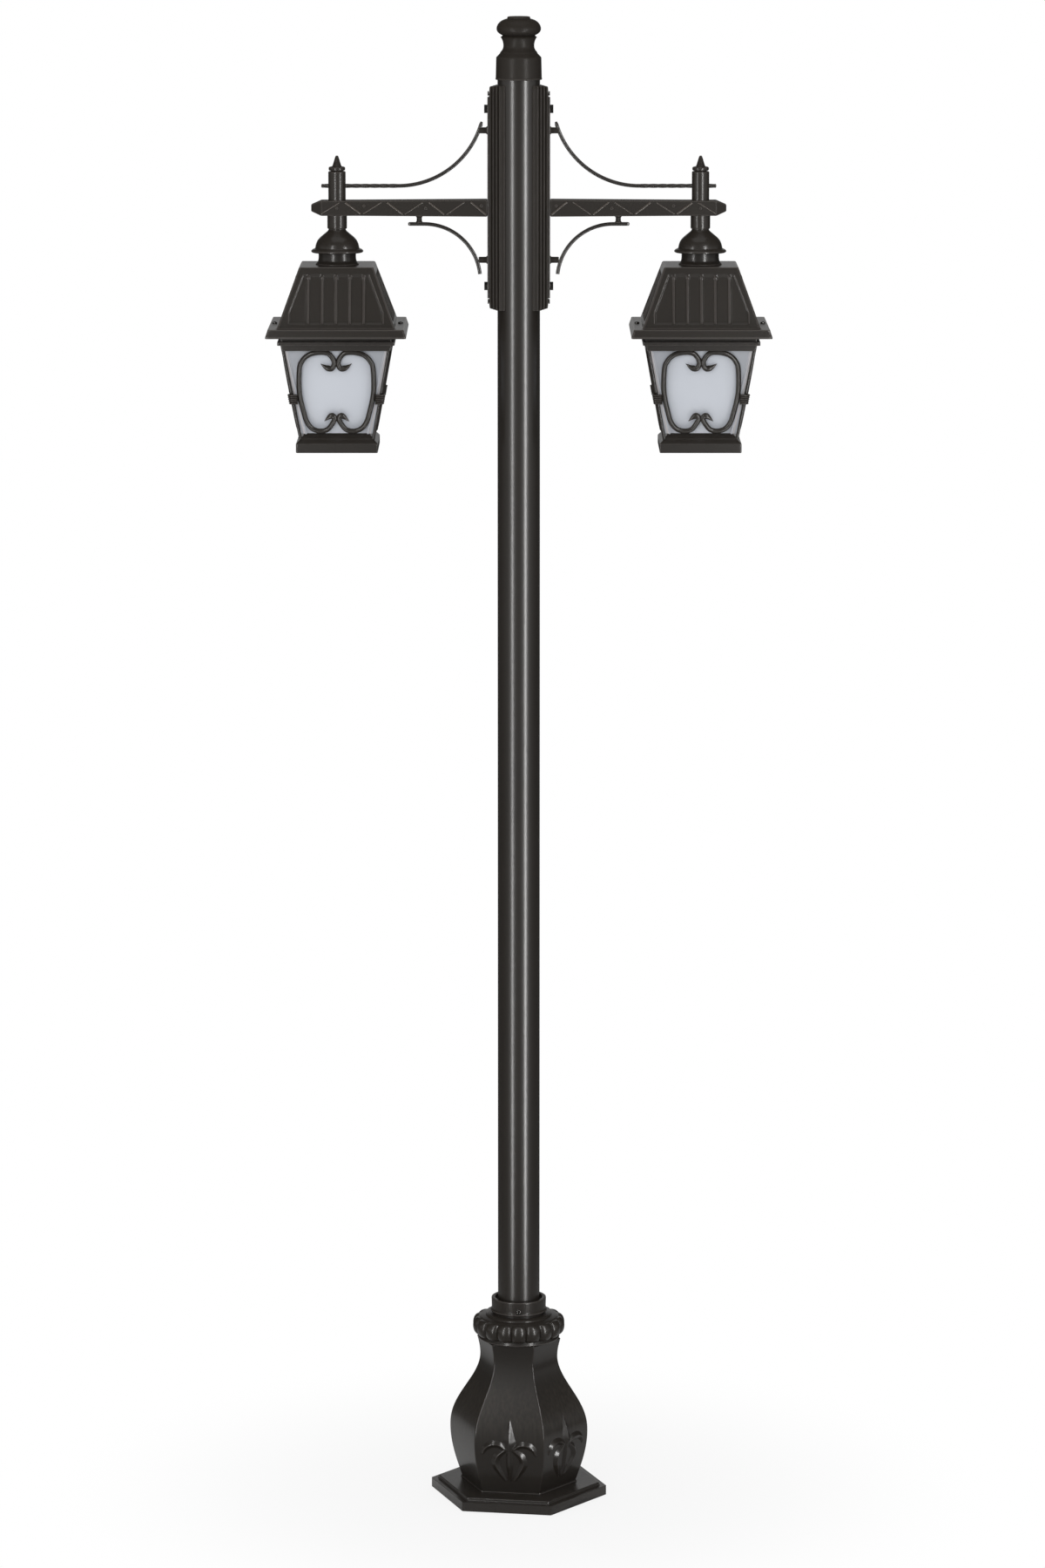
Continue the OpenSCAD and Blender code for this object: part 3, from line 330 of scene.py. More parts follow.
def slab(front, back):
    """A closed part between two grids of the same shape, joined round their edges."""
    rows, count = front.shape[:2]
    index = np.arange(rows * count).reshape(rows, count)
    behind = index + rows * count
    quads = []
    for layer, way in ((index, 1), (behind, -1)):
        group = np.stack([layer[:-1, :-1], layer[:-1, 1:], layer[1:, 1:], layer[1:, :-1]], axis=-1)
        quads.append(group.reshape(-1, 4)[:, ::way])
    for edge in (np.s_[0, ::-1], np.s_[-1, :], np.s_[:, 0], np.s_[::-1, -1]):
        near, far = index[edge], behind[edge]
        quads.append(np.stack([near[:-1], near[1:], far[1:], far[:-1]], axis=-1))
    points = np.concatenate([front.reshape(-1, 3), back.reshape(-1, 3)])
    return outward(points, [np.concatenate(quads)])


def turned(profile, at=(0, 0, 0), segments=64, loop=False, axes=np.eye(3)):
    """A turned part: the profile's radius goes round the third axis, and its height goes along that axis."""
    radius, height = profile[:, :1], profile[:, 1:]
    across, along = circle(segments).T
    return surface(np.array(at) + columns(radius * across, radius * along, height) @ axes, loop)


def corner_arcs(sides, count, radius, turn=0.0):
    """The corners of a polygon as arcs of a radius: for each point the direction of its corner, and its place
    past the arc's centre, across and along. An arc turns from one side's outward direction to the next one's,
    and has a point on the flat close to each of its ends."""
    half = math.pi / sides
    middle = turn + half + 2 * half * np.arange(sides)[:, None]
    bend = np.linspace(-half, half, count)
    way = (middle + np.concatenate([bend[:1], bend, bend[-1:]])).ravel()
    slide = np.tile(np.concatenate([[-WEAR_AND_HIGHLIGHT_EDGE], np.zeros(count), [WEAR_AND_HIGHLIGHT_EDGE]]), sides)
    across = radius * np.cos(way) - slide * np.sin(way)
    along = radius * np.sin(way) + slide * np.cos(way)
    return np.repeat(middle.ravel(), count + 2), across, along


def many_sided(profile, sides, corner, at=(0, 0, 0), turn=0.0, count=5):
    """A hollow part with flat sides: each row is a regular polygon with rounded corners, as far from the axis
    as the profile says."""
    middle, across, along = corner_arcs(sides, count, corner, turn)
    reach = (profile[:, :1] - corner) / math.cos(math.pi / sides)
    grid = columns(reach * np.cos(middle) + across, reach * np.sin(middle) + along, profile[:, 1:])
    return surface(np.array(at) + grid, loop=True)


def swept(path, side, out, section):
    """A bar: the section's (across, out) points are set square to each point of the path."""
    path, side, out = path[:, None], side[..., None, :], out[..., None, :]
    return surface(path + section[..., :1] * side + section[..., 1:] * out)


def block(low, high, edge):
    """A small block with rounded edges: a four-sided part whose rows draw in at both ends."""
    middle = (low + high) / 2
    half = (high - low) / 2
    across, along = squarish(20, 0.35).T
    rise = edge * np.array([0, 0.3, 1])
    draw = there_and_back(edge * np.array([1, 0.3, 0]))[:, None]
    up = np.concatenate([rise - half[2], half[2] - rise[::-1]])[:, None]
    return surface(middle + columns(across * (half[0] - draw), along * (half[1] - draw), up))


def mirrored(parts, signs, at=(0, 0, 0)):
    """The parts with their places past a point multiplied by the three signs."""
    return [outward((points - np.array(at)) * signs + at, faces) for points, faces in parts]


def about(points, turn):
    """The points turned about the upright axis."""
    cos, sin = math.cos(turn), math.sin(turn)
    return points @ np.array([[cos, sin, 0], [-sin, cos, 0], [0, 0, 1]])


def spun(parts, turns, at=(0, 0, 0)):
    """The parts repeated at each turn about the upright axis through a point."""
    return [(about(points - np.array(at), turn) + at, faces) for turn in turns for points, faces in parts]


def wear_and_highlight_edges(points, faces):
    """How sharply the surface bends outwards at each point: the turn of the normal per length of edge,
    averaged over the edges that meet there, as a share of the bend of a small rounded edge. It sets where
    edges turn pale, as worn paint and as a painted highlight."""
    normal = np.zeros_like(points)
    edges = []
    for face in faces:
        first = points[face[:, 0]]
        area = np.zeros_like(first)
        for place in range(1, face.shape[1] - 1):
            area += np.cross(points[face[:, place]] - first, points[face[:, place + 1]] - first)
        for place in range(face.shape[1]):
            np.add.at(normal, face[:, place], area)
            edges.append(columns(face[:, place], np.roll(face, -1, axis=1)[:, place]))
    normal /= np.maximum(np.linalg.norm(normal, axis=1, keepdims=True), 1e-12)
    start, end = np.concatenate(edges).T
    run = points[end] - points[start]
    reach = np.maximum(np.einsum("ij,ij->i", run, run), 1e-10)
    bend = np.einsum("ij,ij->i", normal[end] - normal[start], run) / reach
    total = np.zeros(len(points))
    count = np.zeros(len(points))
    for tip in (start, end):
        np.add.at(total, tip, bend)
        np.add.at(count, tip, 1)
    return np.clip(2 * WEAR_AND_HIGHLIGHT_EDGE * total / np.maximum(count, 1), 0, 1)


# Pieces

def make_piece(name, parts, look, body, node=None, wear_and_highlight=1.0):
    """One mesh object from closed parts, with its edges marked for wear and painted highlight, and its
    finish, body and the node it stands for.
    """
    sharp_turn = math.radians(38)
    offsets = np.cumsum([0] + [len(points) for points, _ in parts])
    points = np.concatenate([points for points, _ in parts])
    faces = [face + offset for (_, group), offset in zip(parts, offsets) for face in group]
    totals = np.concatenate([np.full(len(face), face.shape[1]) for face in faces])
    loops = np.concatenate([face.ravel() for face in faces])
    mesh = bpy.data.meshes.new(name)
    mesh.vertices.add(len(points))
    mesh.vertices.foreach_set("co", points.astype(np.float32).ravel())
    mesh.loops.add(len(loops))
    mesh.loops.foreach_set("vertex_index", loops.astype(np.int32))
    mesh.polygons.add(len(totals))
    mesh.polygons.foreach_set("loop_start", (np.cumsum(totals) - totals).astype(np.int32))
    mesh.update(calc_edges=True)
    if mesh.validate():
        raise RuntimeError(name + " has faces that don't close")
    mesh.shade_smooth()
    mesh.set_sharp_from_angle(angle=sharp_turn)
    wear_and_highlight_share = mesh.attributes.new("wear_and_highlight_share", "FLOAT", "POINT")
    wear_and_highlight_share.data.foreach_set("value", (wear_and_highlight * wear_and_highlight_edges(points, faces)).astype(np.float32))
    mesh.materials.append(material_for(look))
    piece = bpy.data.objects.new(name, mesh)
    bpy.context.scene.collection.objects.link(piece)
    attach(piece, body)
    if node:
        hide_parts(node)


def both_sides(make, name, slot, look=None, body="post", wear_and_highlight=1.0):
    """Makes a piece on the right and its mirror image on the left, each for the node of that name."""
    parts = make()
    for side, sign in SIDES.items():
        node = side + "_" + name
        owner = body if body == "post" else side + "_" + body
        make_piece(node + "_form", mirrored(parts, (sign, 1, 1)), look or slot, owner, node, wear_and_highlight)


def dress_node(name, look, edge=0.0):
    """Gives a CAD node its finish and, where edge is set, rounded edges of that width."""
    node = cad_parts[name]
    node.data.materials.clear()
    node.data.materials.append(material_for(look))
    if edge > 0:
        weld = node.modifiers.new("Weld", "WELD")
        weld.merge_threshold = 0.02 * MM
        bevel = node.modifiers.new("Edges", "BEVEL")
        bevel.width = edge
        bevel.segments = 3
        bevel.limit_method = "ANGLE"
        bevel.angle_limit = math.radians(50)


# Materials

class Value:
    """An output of a material's nodes, on which the usual signs build Math nodes."""

    def __init__(self, shader, socket):
        self.shader = shader
        self.socket = socket

    def maths(self, operation, first, second=0.0):
        return self.shader.node("ShaderNodeMath", {"operation": operation}, {0: first, 1: second})

    def __add__(self, other):
        return self.maths("ADD", self, other)

    def __radd__(self, other):
        return self.maths("ADD", other, self)

    def __sub__(self, other):
        return self.maths("SUBTRACT", self, other)

    def __rsub__(self, other):
        return self.maths("SUBTRACT", other, self)

    def __mul__(self, other):
        return self.maths("MULTIPLY", self, other)

    def __rmul__(self, other):
        return self.maths("MULTIPLY", other, self)

    def __truediv__(self, other):
        return self.maths("DIVIDE", self, other)

    def __rtruediv__(self, other):
        return self.maths("DIVIDE", other, self)

    def __abs__(self):
        return self.maths("ABSOLUTE", self)

    def at_most(self, other):
        return self.maths("MINIMUM", self, other)

    def at_least(self, other):
        return self.maths("MAXIMUM", self, other)

    def rising(self, low, high):
        """Nought up to low, one from high, and a smooth step between them."""
        ends = {1: low, 2: high, 3: 0.0, 4: 1.0}
        return self.shader.node("ShaderNodeMapRange", {"interpolation_type": "SMOOTHSTEP"}, {0: self, **ends})

    def along(self, axis):
        """One of the three numbers of a point."""
        return self.shader.node("ShaderNodeSeparateXYZ", None, {0: self}, output="XYZ".index(axis))


class Shader:
    """Builds the nodes of one material or world."""

    def __init__(self, holder):
        holder.use_nodes = True
        self.tree = holder.node_tree
        self.tree.nodes.clear()

    def node(self, kind, settings=None, inputs=None, output=0):
        """Adds a node: its settings are set first, then its inputs are set or joined."""
        made = self.tree.nodes.new(kind)
        for name, value in (settings or {}).items():
            setattr(made, name, value)
        for name, value in (inputs or {}).items():
            if isinstance(value, Value):
                self.tree.links.new(value.socket, made.inputs[name])
            else:
                made.inputs[name].default_value = value
        return Value(self, made.outputs[output]) if len(made.outputs) else made

    def place(self, stretch=(1, 1, 1)):
        """The point on the object, in metres, stretched along its axes."""
        point = self.node("ShaderNodeTexCoord", output="Object")
        return self.node("ShaderNodeVectorMath", {"operation": "MULTIPLY"}, {0: point, 1: stretch})

    def noise(self, scale, detail=2.0, stretch=(1, 1, 1)):
        inputs = {"Vector": self.place(stretch), "Scale": scale, "Detail": detail}
        return self.node("ShaderNodeTexNoise", None, inputs)

    def ray(self, kind):
        """One where the light path is of this kind, and nought elsewhere."""
        return self.node("ShaderNodeLightPath", output="Is " + kind + " Ray")

    def mix(self, part, first, second):
        return self.node("ShaderNodeMix", {"data_type": "RGBA"}, {0: part, 6: first, 7: second}, output=2)

    def bump(self, height, strength, distance):
        inputs = {"Height": height, "Strength": strength, "Distance": distance}
        return self.node("ShaderNodeBump", None, inputs)

    def surface(self, inputs):
        shader = self.node("ShaderNodeBsdfPrincipled", None, inputs)
        self.node("ShaderNodeOutputMaterial", None, {0: shader})


def opaque(colour, depth=1.0):
    """A colour times a depth, with its fourth number."""
    return (*(min(1.0, depth * part) for part in colour), 1.0)


def new_material(name):
    """An empty material and the builder of its nodes."""
    material = bpy.data.materials.new(name)
    return material, Shader(material)


def paint_material(name, depth, roughness, coat, coat_roughness, peel, brushed=0.0):
    """Paint under a clear coat: slow and fine changes of tone, edges rubbed pale that also stand as a painted
    highlight, a skin with a faint orange peel, and on the base cover faint upright brush marks and a lighter
    brown band above its widest line."""
    look = finish()
    material, shader = new_material(name)
    broad = shader.noise(5.0)
    fine = shader.noise(160.0, 4.0)
    skin = shader.noise(420.0, 1.0)
    edges = shader.node("ShaderNodeAttribute", {"attribute_name": "wear_and_highlight_share"}, output="Fac")
    # Worn paint and painted highlight: where the surface bends sharply outwards it turns pale
    rubbed_and_highlit = (edges + (fine - 0.5) * 0.4).rising(0.3, 1.0) * look.wear_and_highlight_share
    height = 0.6 * skin + 0.25 * fine
    dark, light = opaque(look.paint, 0.82 * depth), opaque(look.paint, 1.25 * depth)
    colour = shader.mix(0.6 * broad + 0.3 * fine, dark, light)
    if brushed:
        brush = shader.noise(190.0, 2.0, (1, 1, 0.03))
        up = shader.place().along("Z")
        # The cover turns lighter brown in a band from about 0.09 to 0.25 m up, broken by the brush streaks
        patch = up.rising(0.09, 0.17) * (1.0 - up.rising(0.18, 0.25)) * brush.rising(0.25, 0.85)
        colour = shader.mix(brushed * patch * broad, colour, opaque(look.brushed))
        height = height + brushed * brush
    shader.surface({
        "Base Color": shader.mix(rubbed_and_highlit, colour, opaque(look.wear_and_highlight)),
        "Roughness": roughness - 0.05 + 0.06 * fine + 0.05 * broad - 0.05 * rubbed_and_highlit,
        "Coat Weight": coat * (0.85 + 0.3 * broad),
        "Coat Roughness": coat_roughness,
        "Specular IOR Level": 0.13,
        "Normal": shader.bump(height, peel, 0.6 * MM),
    })
    return material


def glass_material():
    """Frosted opal glass with a faint ripple: pale in the middle of a pane, with painted shade greying it
    towards its corners and a painted highlight along the lines where the panes meet. The place on a pane is
    its distance from the lantern's axis and from the glass's middle."""
    pane_half = 0.075
    pane_z = CAGE_LOW[2] + 0.085
    look = finish()
    material, shader = new_material("opal_glass_pane")
    point = shader.place()
    sideways = abs(abs(point.along("X")) - AXIS_X)
    forwards = abs(point.along("Y"))
    off_middle = sideways.at_most(forwards) / pane_half
    off_height = (point.along("Z") - pane_z) / pane_half
    # Painted shade: how far the pane greys towards its corners
    corner = (off_middle * off_middle + 0.55 * off_height * off_height).rising(0.25, 1.5)
    # Painted highlight: a pale strip along the lines where the panes meet
    rim = 1.0 - abs(sideways - forwards).rising(0.002, 0.005)
    ripple = shader.noise(48.0)
    grain = shader.noise(900.0, 1.0)
    # Painted shade: the glass darkens to 0.62 of its colour towards the corners, with a slow drift
    dim = (corner + 0.12 * shader.noise(9.0)).at_most(1.0)
    colour = shader.mix(dim, opaque(look.glass), opaque(look.glass, 0.62))
    shader.surface({
        "Base Color": shader.mix(0.8 * rim, colour, opaque(look.rim)),
        "Roughness": 0.24 + 0.1 * ripple + 0.05 * grain,
        "Specular IOR Level": 0.45,
        "Normal": shader.bump(0.7 * ripple + 0.3 * grain, 0.05, 0.4 * MM),
    })
    return material


def plain_material(name, colour, roughness, metallic=0.0, grain=300.0, bump=0.1):
    """A small piece's finish: one colour that drifts a little, with fine grain in its gloss and its skin."""
    material, shader = new_material(name)
    fine = shader.noise(grain, 3.0)
    tone = 0.5 * shader.noise(25.0) + 0.5 * fine
    shader.surface({
        "Base Color": shader.mix(tone, opaque(colour, 0.75), opaque(colour, 1.15)),
        "Roughness": roughness - 0.08 + 0.16 * fine,
        "Metallic": metallic,
        "Normal": shader.bump(fine, bump, 0.5 * MM),
    })
    return material


# Name of the material, depth of colour, roughness, coat, roughness of the coat, orange peel and brush marks
PAINTS = {
    "painted_steel": ("satin_paint_steel", 0.85, 0.5, 0.8, 0.25, 0.004),
    "painted_casting": ("matt_paint_casting", 1.0, 0.68, 0.10, 0.30, 0.05),
    "turned_casting": ("satin_paint_casting", 0.97, 0.55, 0.45, 0.22, 0.03),
    "cover_casting": ("satin_paint_cover", 0.8, 0.6, 0.52, 0.2, 0.04, 0.7),
    "lily_casting": ("gloss_paint_cover", 0.8, 0.5, 0.5, 0.17, 0.12),
    # Painted highlight: the paint three times as light, for the raised zigzag lines on the arms
    "highlit_casting": ("highlight_paint_casting", 3.0, 0.5, 0.5, 0.25, 0.05),
}

# Colour, roughness, metal, grain and bump
PLAIN_FINISHES = {
    "plated_steel": ((0.55, 0.55, 0.56), 0.32, 1.0),
    "black_screw": ((0.12, 0.115, 0.11), 0.24, 1.0),
    "seal_rubber": ((0.018, 0.018, 0.018), 0.75),
    "holder_ceramic": ((0.75, 0.74, 0.70), 0.22, 0.0, 500.0, 0.03),
    "lamp_opal": ((0.82, 0.82, 0.80), 0.28, 0.0, 500.0, 0.02),
    "cable_sheath": ((0.03, 0.03, 0.03), 0.5),
    "terminal_plastic": ((0.35, 0.34, 0.31), 0.45),
}

MATERIALS = {}


def material_for(look):
    """The material of a finish, made the first time that it is asked for."""
    if look not in MATERIALS:
        if look in PAINTS:
            MATERIALS[look] = paint_material(*PAINTS[look])
        elif look in PLAIN_FINISHES:
            MATERIALS[look] = plain_material(look + "_finish", *PLAIN_FINISHES[look])
        else:
            MATERIALS[look] = glass_material()
    return MATERIALS[look]


# Foot, pole and base cover

def cover_flat(height):
    """Distance from the axis to the base cover's flats: a quarter sine out to the belly, half a cosine in to
    the waist, and a quarter cosine out to the rim, at the corners, times the cosine of half a side."""
    size = sizes()
    rise = height - PLATE_TOP
    low = progress(rise, 0, size.belly_h)
    middle = progress(rise, size.belly_h, size.waist_h)
    high = progress(rise, size.waist_h, COVER_TOP - PLATE_TOP)
    corner = size.foot_r + (size.belly_r - size.foot_r) * np.sin(math.pi / 2 * low)
    corner = corner - (size.belly_r - size.waist_r) * (1 - np.cos(math.pi * middle ** 1.12)) / 2
    corner = corner + (size.rim_r - size.waist_r) * (1 - np.cos(math.pi / 2 * high))
    return corner * math.cos(math.pi / 6)


def cover_parts():
    """The hexagonal cover: its outside up, a rounded rim, its inside down, one wall's thickness in, and a
    fine bead round its foot."""
    wall, rim, corner = 0.005, 0.0015, 0.003
    bead = [(0.0012, 0), (0.0020, 0.0008), (0.0016, 0.0022)]
    height = np.linspace(PLATE_TOP + 2 * rim, COVER_TOP - rim, 90)
    outside = columns(cover_flat(height), height)
    inside = outside[::-6] - (wall, 0)
    top = np.array([[-rim, rim], [rim - wall, rim]]) + outside[-1]
    foot = np.array([(rim - wall, 0), *bead]) + (outside[0, 0], PLATE_TOP)
    profile = np.concatenate([outside, top, inside, foot])
    return [many_sided(profile, 6, corner, turn=sizes().cover_turn + math.pi / 6, count=6)]


def lily_strokes():
    """The lily's strokes in shares of its height: each has the slope of its two sides and a line of (across,
    up, half-width) points. The spear stands in the middle over a rib. On each side of it a petal arches out
    and droops, and a leaf bows out and runs in to the foot."""
    spear = [(0, 0.05, 0.088), (0, 0.14, 0.104), (0, 0.27, 0.070), (0, 0.40, 0.034), (0, 0.50, 0.004)]
    rib = [(0, 0.06, 0.050), (0, -0.22, 0.055), (0, -0.49, 0.022)]
    petal = [
        (0.07, 0.05, 0.046), (0.17, 0.115, 0.056), (0.29, 0.115, 0.060), (0.385, 0.055, 0.050),
        (0.425, -0.03, 0.026),
    ]
    leaf = [
        (0.07, 0.03, 0.040), (0.19, -0.07, 0.062), (0.225, -0.20, 0.064), (0.15, -0.36, 0.048),
        (0.07, -0.49, 0.022),
    ]
    strokes = [(0.52, np.array(spear)), (0.75, np.array(rib))]
    for sign in (-1, 1):
        strokes.append((0.85, np.array(petal) * (sign, 1, 1)))
        strokes.append((0.75, np.array(leaf) * (sign, 1, 1)))
    return strokes


def lily_parts():
    """The raised lilies on the front and right faces and on the two faces opposite: a grid over the face that
    takes the highest of its strokes, each a ridge whose sides fall evenly from its line, and that is sunk
    below the face round them. Its back lies inside the wall."""
    size = sizes()
    sunk, back = -0.0015, -0.004
    across, up = np.linspace(-0.48, 0.48, 107), np.linspace(-0.53, 0.53, 115)
    wide, high = np.meshgrid(across * size.lily_h, up * size.lily_h)
    relief = np.full(wide.shape, sunk)
    for slope, stroke in lily_strokes():
        line = smooth_line(stroke, 7) * size.lily_h
        run = np.diff(line, axis=0)
        off_x = wide[..., None] - line[:-1, 0]
        off_y = high[..., None] - line[:-1, 1]
        along = np.clip((off_x * run[:, 0] + off_y * run[:, 1]) / (run[:, :2] ** 2).sum(axis=1), 0, 1)
        gap = np.hypot(off_x - along * run[:, 0], off_y - along * run[:, 1])
        ridge = (line[:-1, 2] + along * run[:, 2] - gap).max(axis=-1)
        relief = np.maximum(relief, slope * ridge)
    height = PLATE_TOP + size.lily_rise + high
    flat = cover_flat(height)
    lily = slab(columns(flat + relief, wide, height), columns(flat + back, wide, height))
    return spun([lily], size.cover_turn + np.radians([-90, -30, 90, 150]))


def ring_parts():
    """The beaded ring: a turned rim, half an ellipse in section, that swells into upright beads. A bead
    stands out of the rim by a half circle across its width, most at the rim's widest line and less to its
    ends."""
    size = sizes()
    turn = np.radians(np.linspace(-70, 86, 30))
    middle = (0.0675, COVER_TOP + 0.0240)
    wide, tall = 0.0110, 0.0165
    rim = columns(wide * np.cos(turn), tall * np.sin(turn)) + middle
    lean = unit(columns(np.cos(turn) / wide, np.sin(turn) / tall))
    top = rounded([
        (60, 43.4, 2), (53, 46), (40, 46), (40, 0), (74, 0, 0.6), (74.6, 1.6, 0.8), (73.4, 4, 1.5), (72, 8),
    ], (0, COVER_TOP))
    profile = np.concatenate([rim, top])
    lean = np.concatenate([lean, 0 * top])
    bead_middle, bead_half = np.radians([-4, 64])
    off_middle = progress(np.abs(turn - bead_middle), 0, bead_half)
    swell = np.concatenate([np.sqrt(1 - off_middle ** 2.5), 0 * top[:, 0]]) * size.bead_rise
    steps, fullness, groove = 14, 0.97, 0.25
    place = np.arange(size.bead_count * steps) / steps
    across = 2 * (place % 1) - 1
    bead = (np.sqrt(1 - (fullness * across) ** 2) - groove) / (1 - groove)
    out = profile[:, None] + lean[:, None] * (swell[:, None] * bead)[..., None]
    radius, height = out[..., 0], out[..., 1]
    around = 2 * math.pi * place / size.bead_count
    return [surface(columns(radius * np.cos(around), radius * np.sin(around), height), loop=True)]


def collar_parts():
    """The clamping collar: a turned band with a rounded foot ring, and a rim that stands off the pole."""
    top = (COLLAR_HIGH[2] - RING_TOP) / MM
    bore = (POLE_R - COLLAR_HIGH[0]) / MM + 0.1
    profile = rounded([
        (bore, 0), (-3.4, 0), (-3.4, 3.6, 1), (0.6, 4.4, 1), (1.4, 6, 1), (0.4, 7.6, 0.8), (-1.2, 8.4, 0.6),
        (-0.6, top, 1.6), (-7.5, top, 1.4), (-8.2, top - 6, 1), (bore, top - 7),
    ], (COLLAR_HIGH[0], RING_TOP))
    return [turned(profile, segments=128, loop=True)]


def collar_screw_parts():
    """Three set screws in the collar, one at the front: a rounded rim about a deep socket."""
    height = (COLLAR_SCREW_LOW[2] + COLLAR_SCREW_HIGH[2]) / 2
    axes = np.array([[1, 0, 0], [0, 0, 1], [0, -1, 0]])
    profile = rounded([(4.6, -9), (4.6, -1.6, 0.8), (3.8, 0, 1), (2.4, -0.2, 0.6), (2.1, -3.4), (0.3, -3.6)])
    head = turned(profile, (0, COLLAR_SCREW_LOW[1], height), 28, axes=axes)
    return spun([head], np.arange(3) * 2 * math.pi / 3)


def pole_parts():
    """The pole: a plain tube."""
    wall = 3
    top = (POLE_HIGH[2] - PLATE_TOP) / MM
    profile = rounded([(0, 0, 0.4), (0, top, 0.4), (-wall, top, 0.4), (-wall, 0, 0.4)], (POLE_R, PLATE_TOP))
    return [turned(profile, segments=128, loop=True)]


def cap_parts():
    """The pole's cap: a sleeve, a cone, a hollow neck, a bun-shaped knob and a button. The bun's side is part
    of an ellipse that is taller above its widest line than below it."""
    lower = rounded([
        (POLE_R / MM + 0.05, 0), (41.2, 0, 0.6), (41.6, 2.2, 0.6), (41.0, 3.2, 0.5), (40.2, 39.6, 1.4),
        (33.6, 46.4, 0.8), (32.8, 48.6, 0.6), (31.6, 50, 0.8), (27.8, 55, 4), (27.2, 63, 5), (29.4, 71, 4),
        (32.6, 75.6, 0.8),
    ], steps=8)
    turn = np.radians(np.linspace(-58, 76, 34))
    centre, wide, widest_z = 16.5, 23, 90
    tall = np.where(turn > 0, 18.2, 13.6)
    bun = columns(centre + wide * np.cos(turn), widest_z + tall * np.sin(turn)) * MM
    button = rounded([(20.8, 108.4, 0.5), (20.4, 109.6, 0.4), (20.2, 111.2, 0.8), (17.8, 112, 1), (1, 112)])
    return [turned(np.concatenate([lower, bun, button]), (0, 0, CAP_Z), 96)]


# Brackets, arms and rods

def bracket_parts():
    """A fluted saddle: a plan of five half-oval reeds, the outer three stepped back, drawn upwards. Its ends
    slope in towards the arm's side, and its outer strip is drawn in close to them."""
    step = sizes().flute_step
    count, reed_depth, end_slope = 5, 1.6 * MM, 0.18
    inner, outer = BRACKET_LOW[0], BRACKET_HIGH[0]
    half = BRACKET_HIGH[1]
    width = (outer - inner) / count
    bow = np.linspace(-half, half, 25)
    saddle = columns(np.sqrt((POLE_R + 0.1 * MM) ** 2 - bow ** 2), -bow)
    turn = np.linspace(-1, 1, 9)
    sink = reed_depth * (1 - np.sqrt(1 - 0.9 * turn ** 2)) - half
    reeds = [
        columns(inner + width * (place + 0.5 + 0.46 * turn), sink + step * max(place - 1, 0))
        for place in range(count)
    ]
    edge = np.concatenate([*reeds, [[outer, 3 * step + 4 * MM - half]]])
    plan = np.concatenate([edge, edge[::-1] * (1, -1), saddle[1:-1]])
    rise = np.array([0, 0.6, 1.6, 4, 16]) * MM
    tuck = there_and_back(np.array([3.4, 2.0, 1.2, 0.9, 0]) * MM)[:, None]
    height = np.concatenate([BRACKET_LOW[2] + rise, BRACKET_HIGH[2] - rise[::-1]])[:, None]
    centre = np.array([POLE_R, 0])
    reach = np.linalg.norm(plan - centre, axis=1)
    out = plan[:, 0] - POLE_R
    outside = progress(plan[:, 0], POLE_R, outer)
    shrink = 1 - tuck * (reach > 0.004) * (0.4 + 0.6 * outside) / np.maximum(reach, 0.01)
    ends = np.where(height < (BRACKET_LOW[2] + BRACKET_HIGH[2]) / 2, 1, -1) * (tuck > 0)
    slope = end_slope * np.maximum(out, 0)
    return [surface(columns(POLE_R + out * shrink, plan[:, 1] * shrink, height + ends * slope))]


def back_plate_parts():
    """The back plate between bracket and arm, with a small tooth beyond each of its ends."""
    low, high = BACK_LOW, BACK_HIGH
    tooth, gap, inset = 0.007, 0.003, 0.004
    parts = [block(low, high, 0.0008)]
    for foot in (low[2] - gap - tooth, high[2] + gap):
        start = np.array([low[0], low[1] + inset, foot])
        end = np.array([high[0] - 0.0004, high[1] - inset, foot + tooth])
        parts.append(block(start, end, 0.0006))
    return parts


def arm_half_height(x):
    """Half the arm's height, which falls evenly from its root to where it runs level, then to its point."""
    root = (ARM_HIGH[2] - ARM_LOW[2]) / 2
    level_x = AXIS_X - 0.035
    fall, point_fall = 0.0016, 0.55
    half = root - fall * progress(x, ARM_LOW[0], level_x)
    return half * (1 - point_fall * progress(x, ARM_TIP_X, ARM_HIGH[0]))


def arm_parts():
    """The arm: a rectangle with rounded corners, whose height follows the arm's line, with a blunt point, and
    its screws."""
    edge = 0.0016
    root = ARM_LOW[0] + np.array([0, 0.3, 1]) * edge
    tip = ARM_TIP_X + np.array([-2.6, -0.6, 0.6, 2.6]) * MM
    end = ARM_HIGH[0] - np.array([2.6, 1.2, 0]) * MM
    x = np.concatenate([root, np.linspace(root[-1] + WEAR_AND_HIGHLIGHT_EDGE, tip[0] - WEAR_AND_HIGHLIGHT_EDGE, 30), tip, end])
    draw = np.interp(x, root, [edge, 0.4 * edge, 0])
    blunt = np.interp(x, [ARM_TIP_X, end[1], end[2]], [1, 0.45, 0.38])
    tall = ((arm_half_height(x) - draw) * np.where(x > end[1], 0.86, 1))[:, None]
    wide = ((ARM_HIGH[1] - draw) * blunt)[:, None]
    middle, across, up = corner_arcs(4, 6, edge)
    y = np.sign(np.cos(middle)) * (wide - edge) + across
    z = ARM_Z + np.sign(np.sin(middle)) * (tall - edge) + up
    return [surface(columns(x[:, None], y, z)), *arm_screw_parts()]


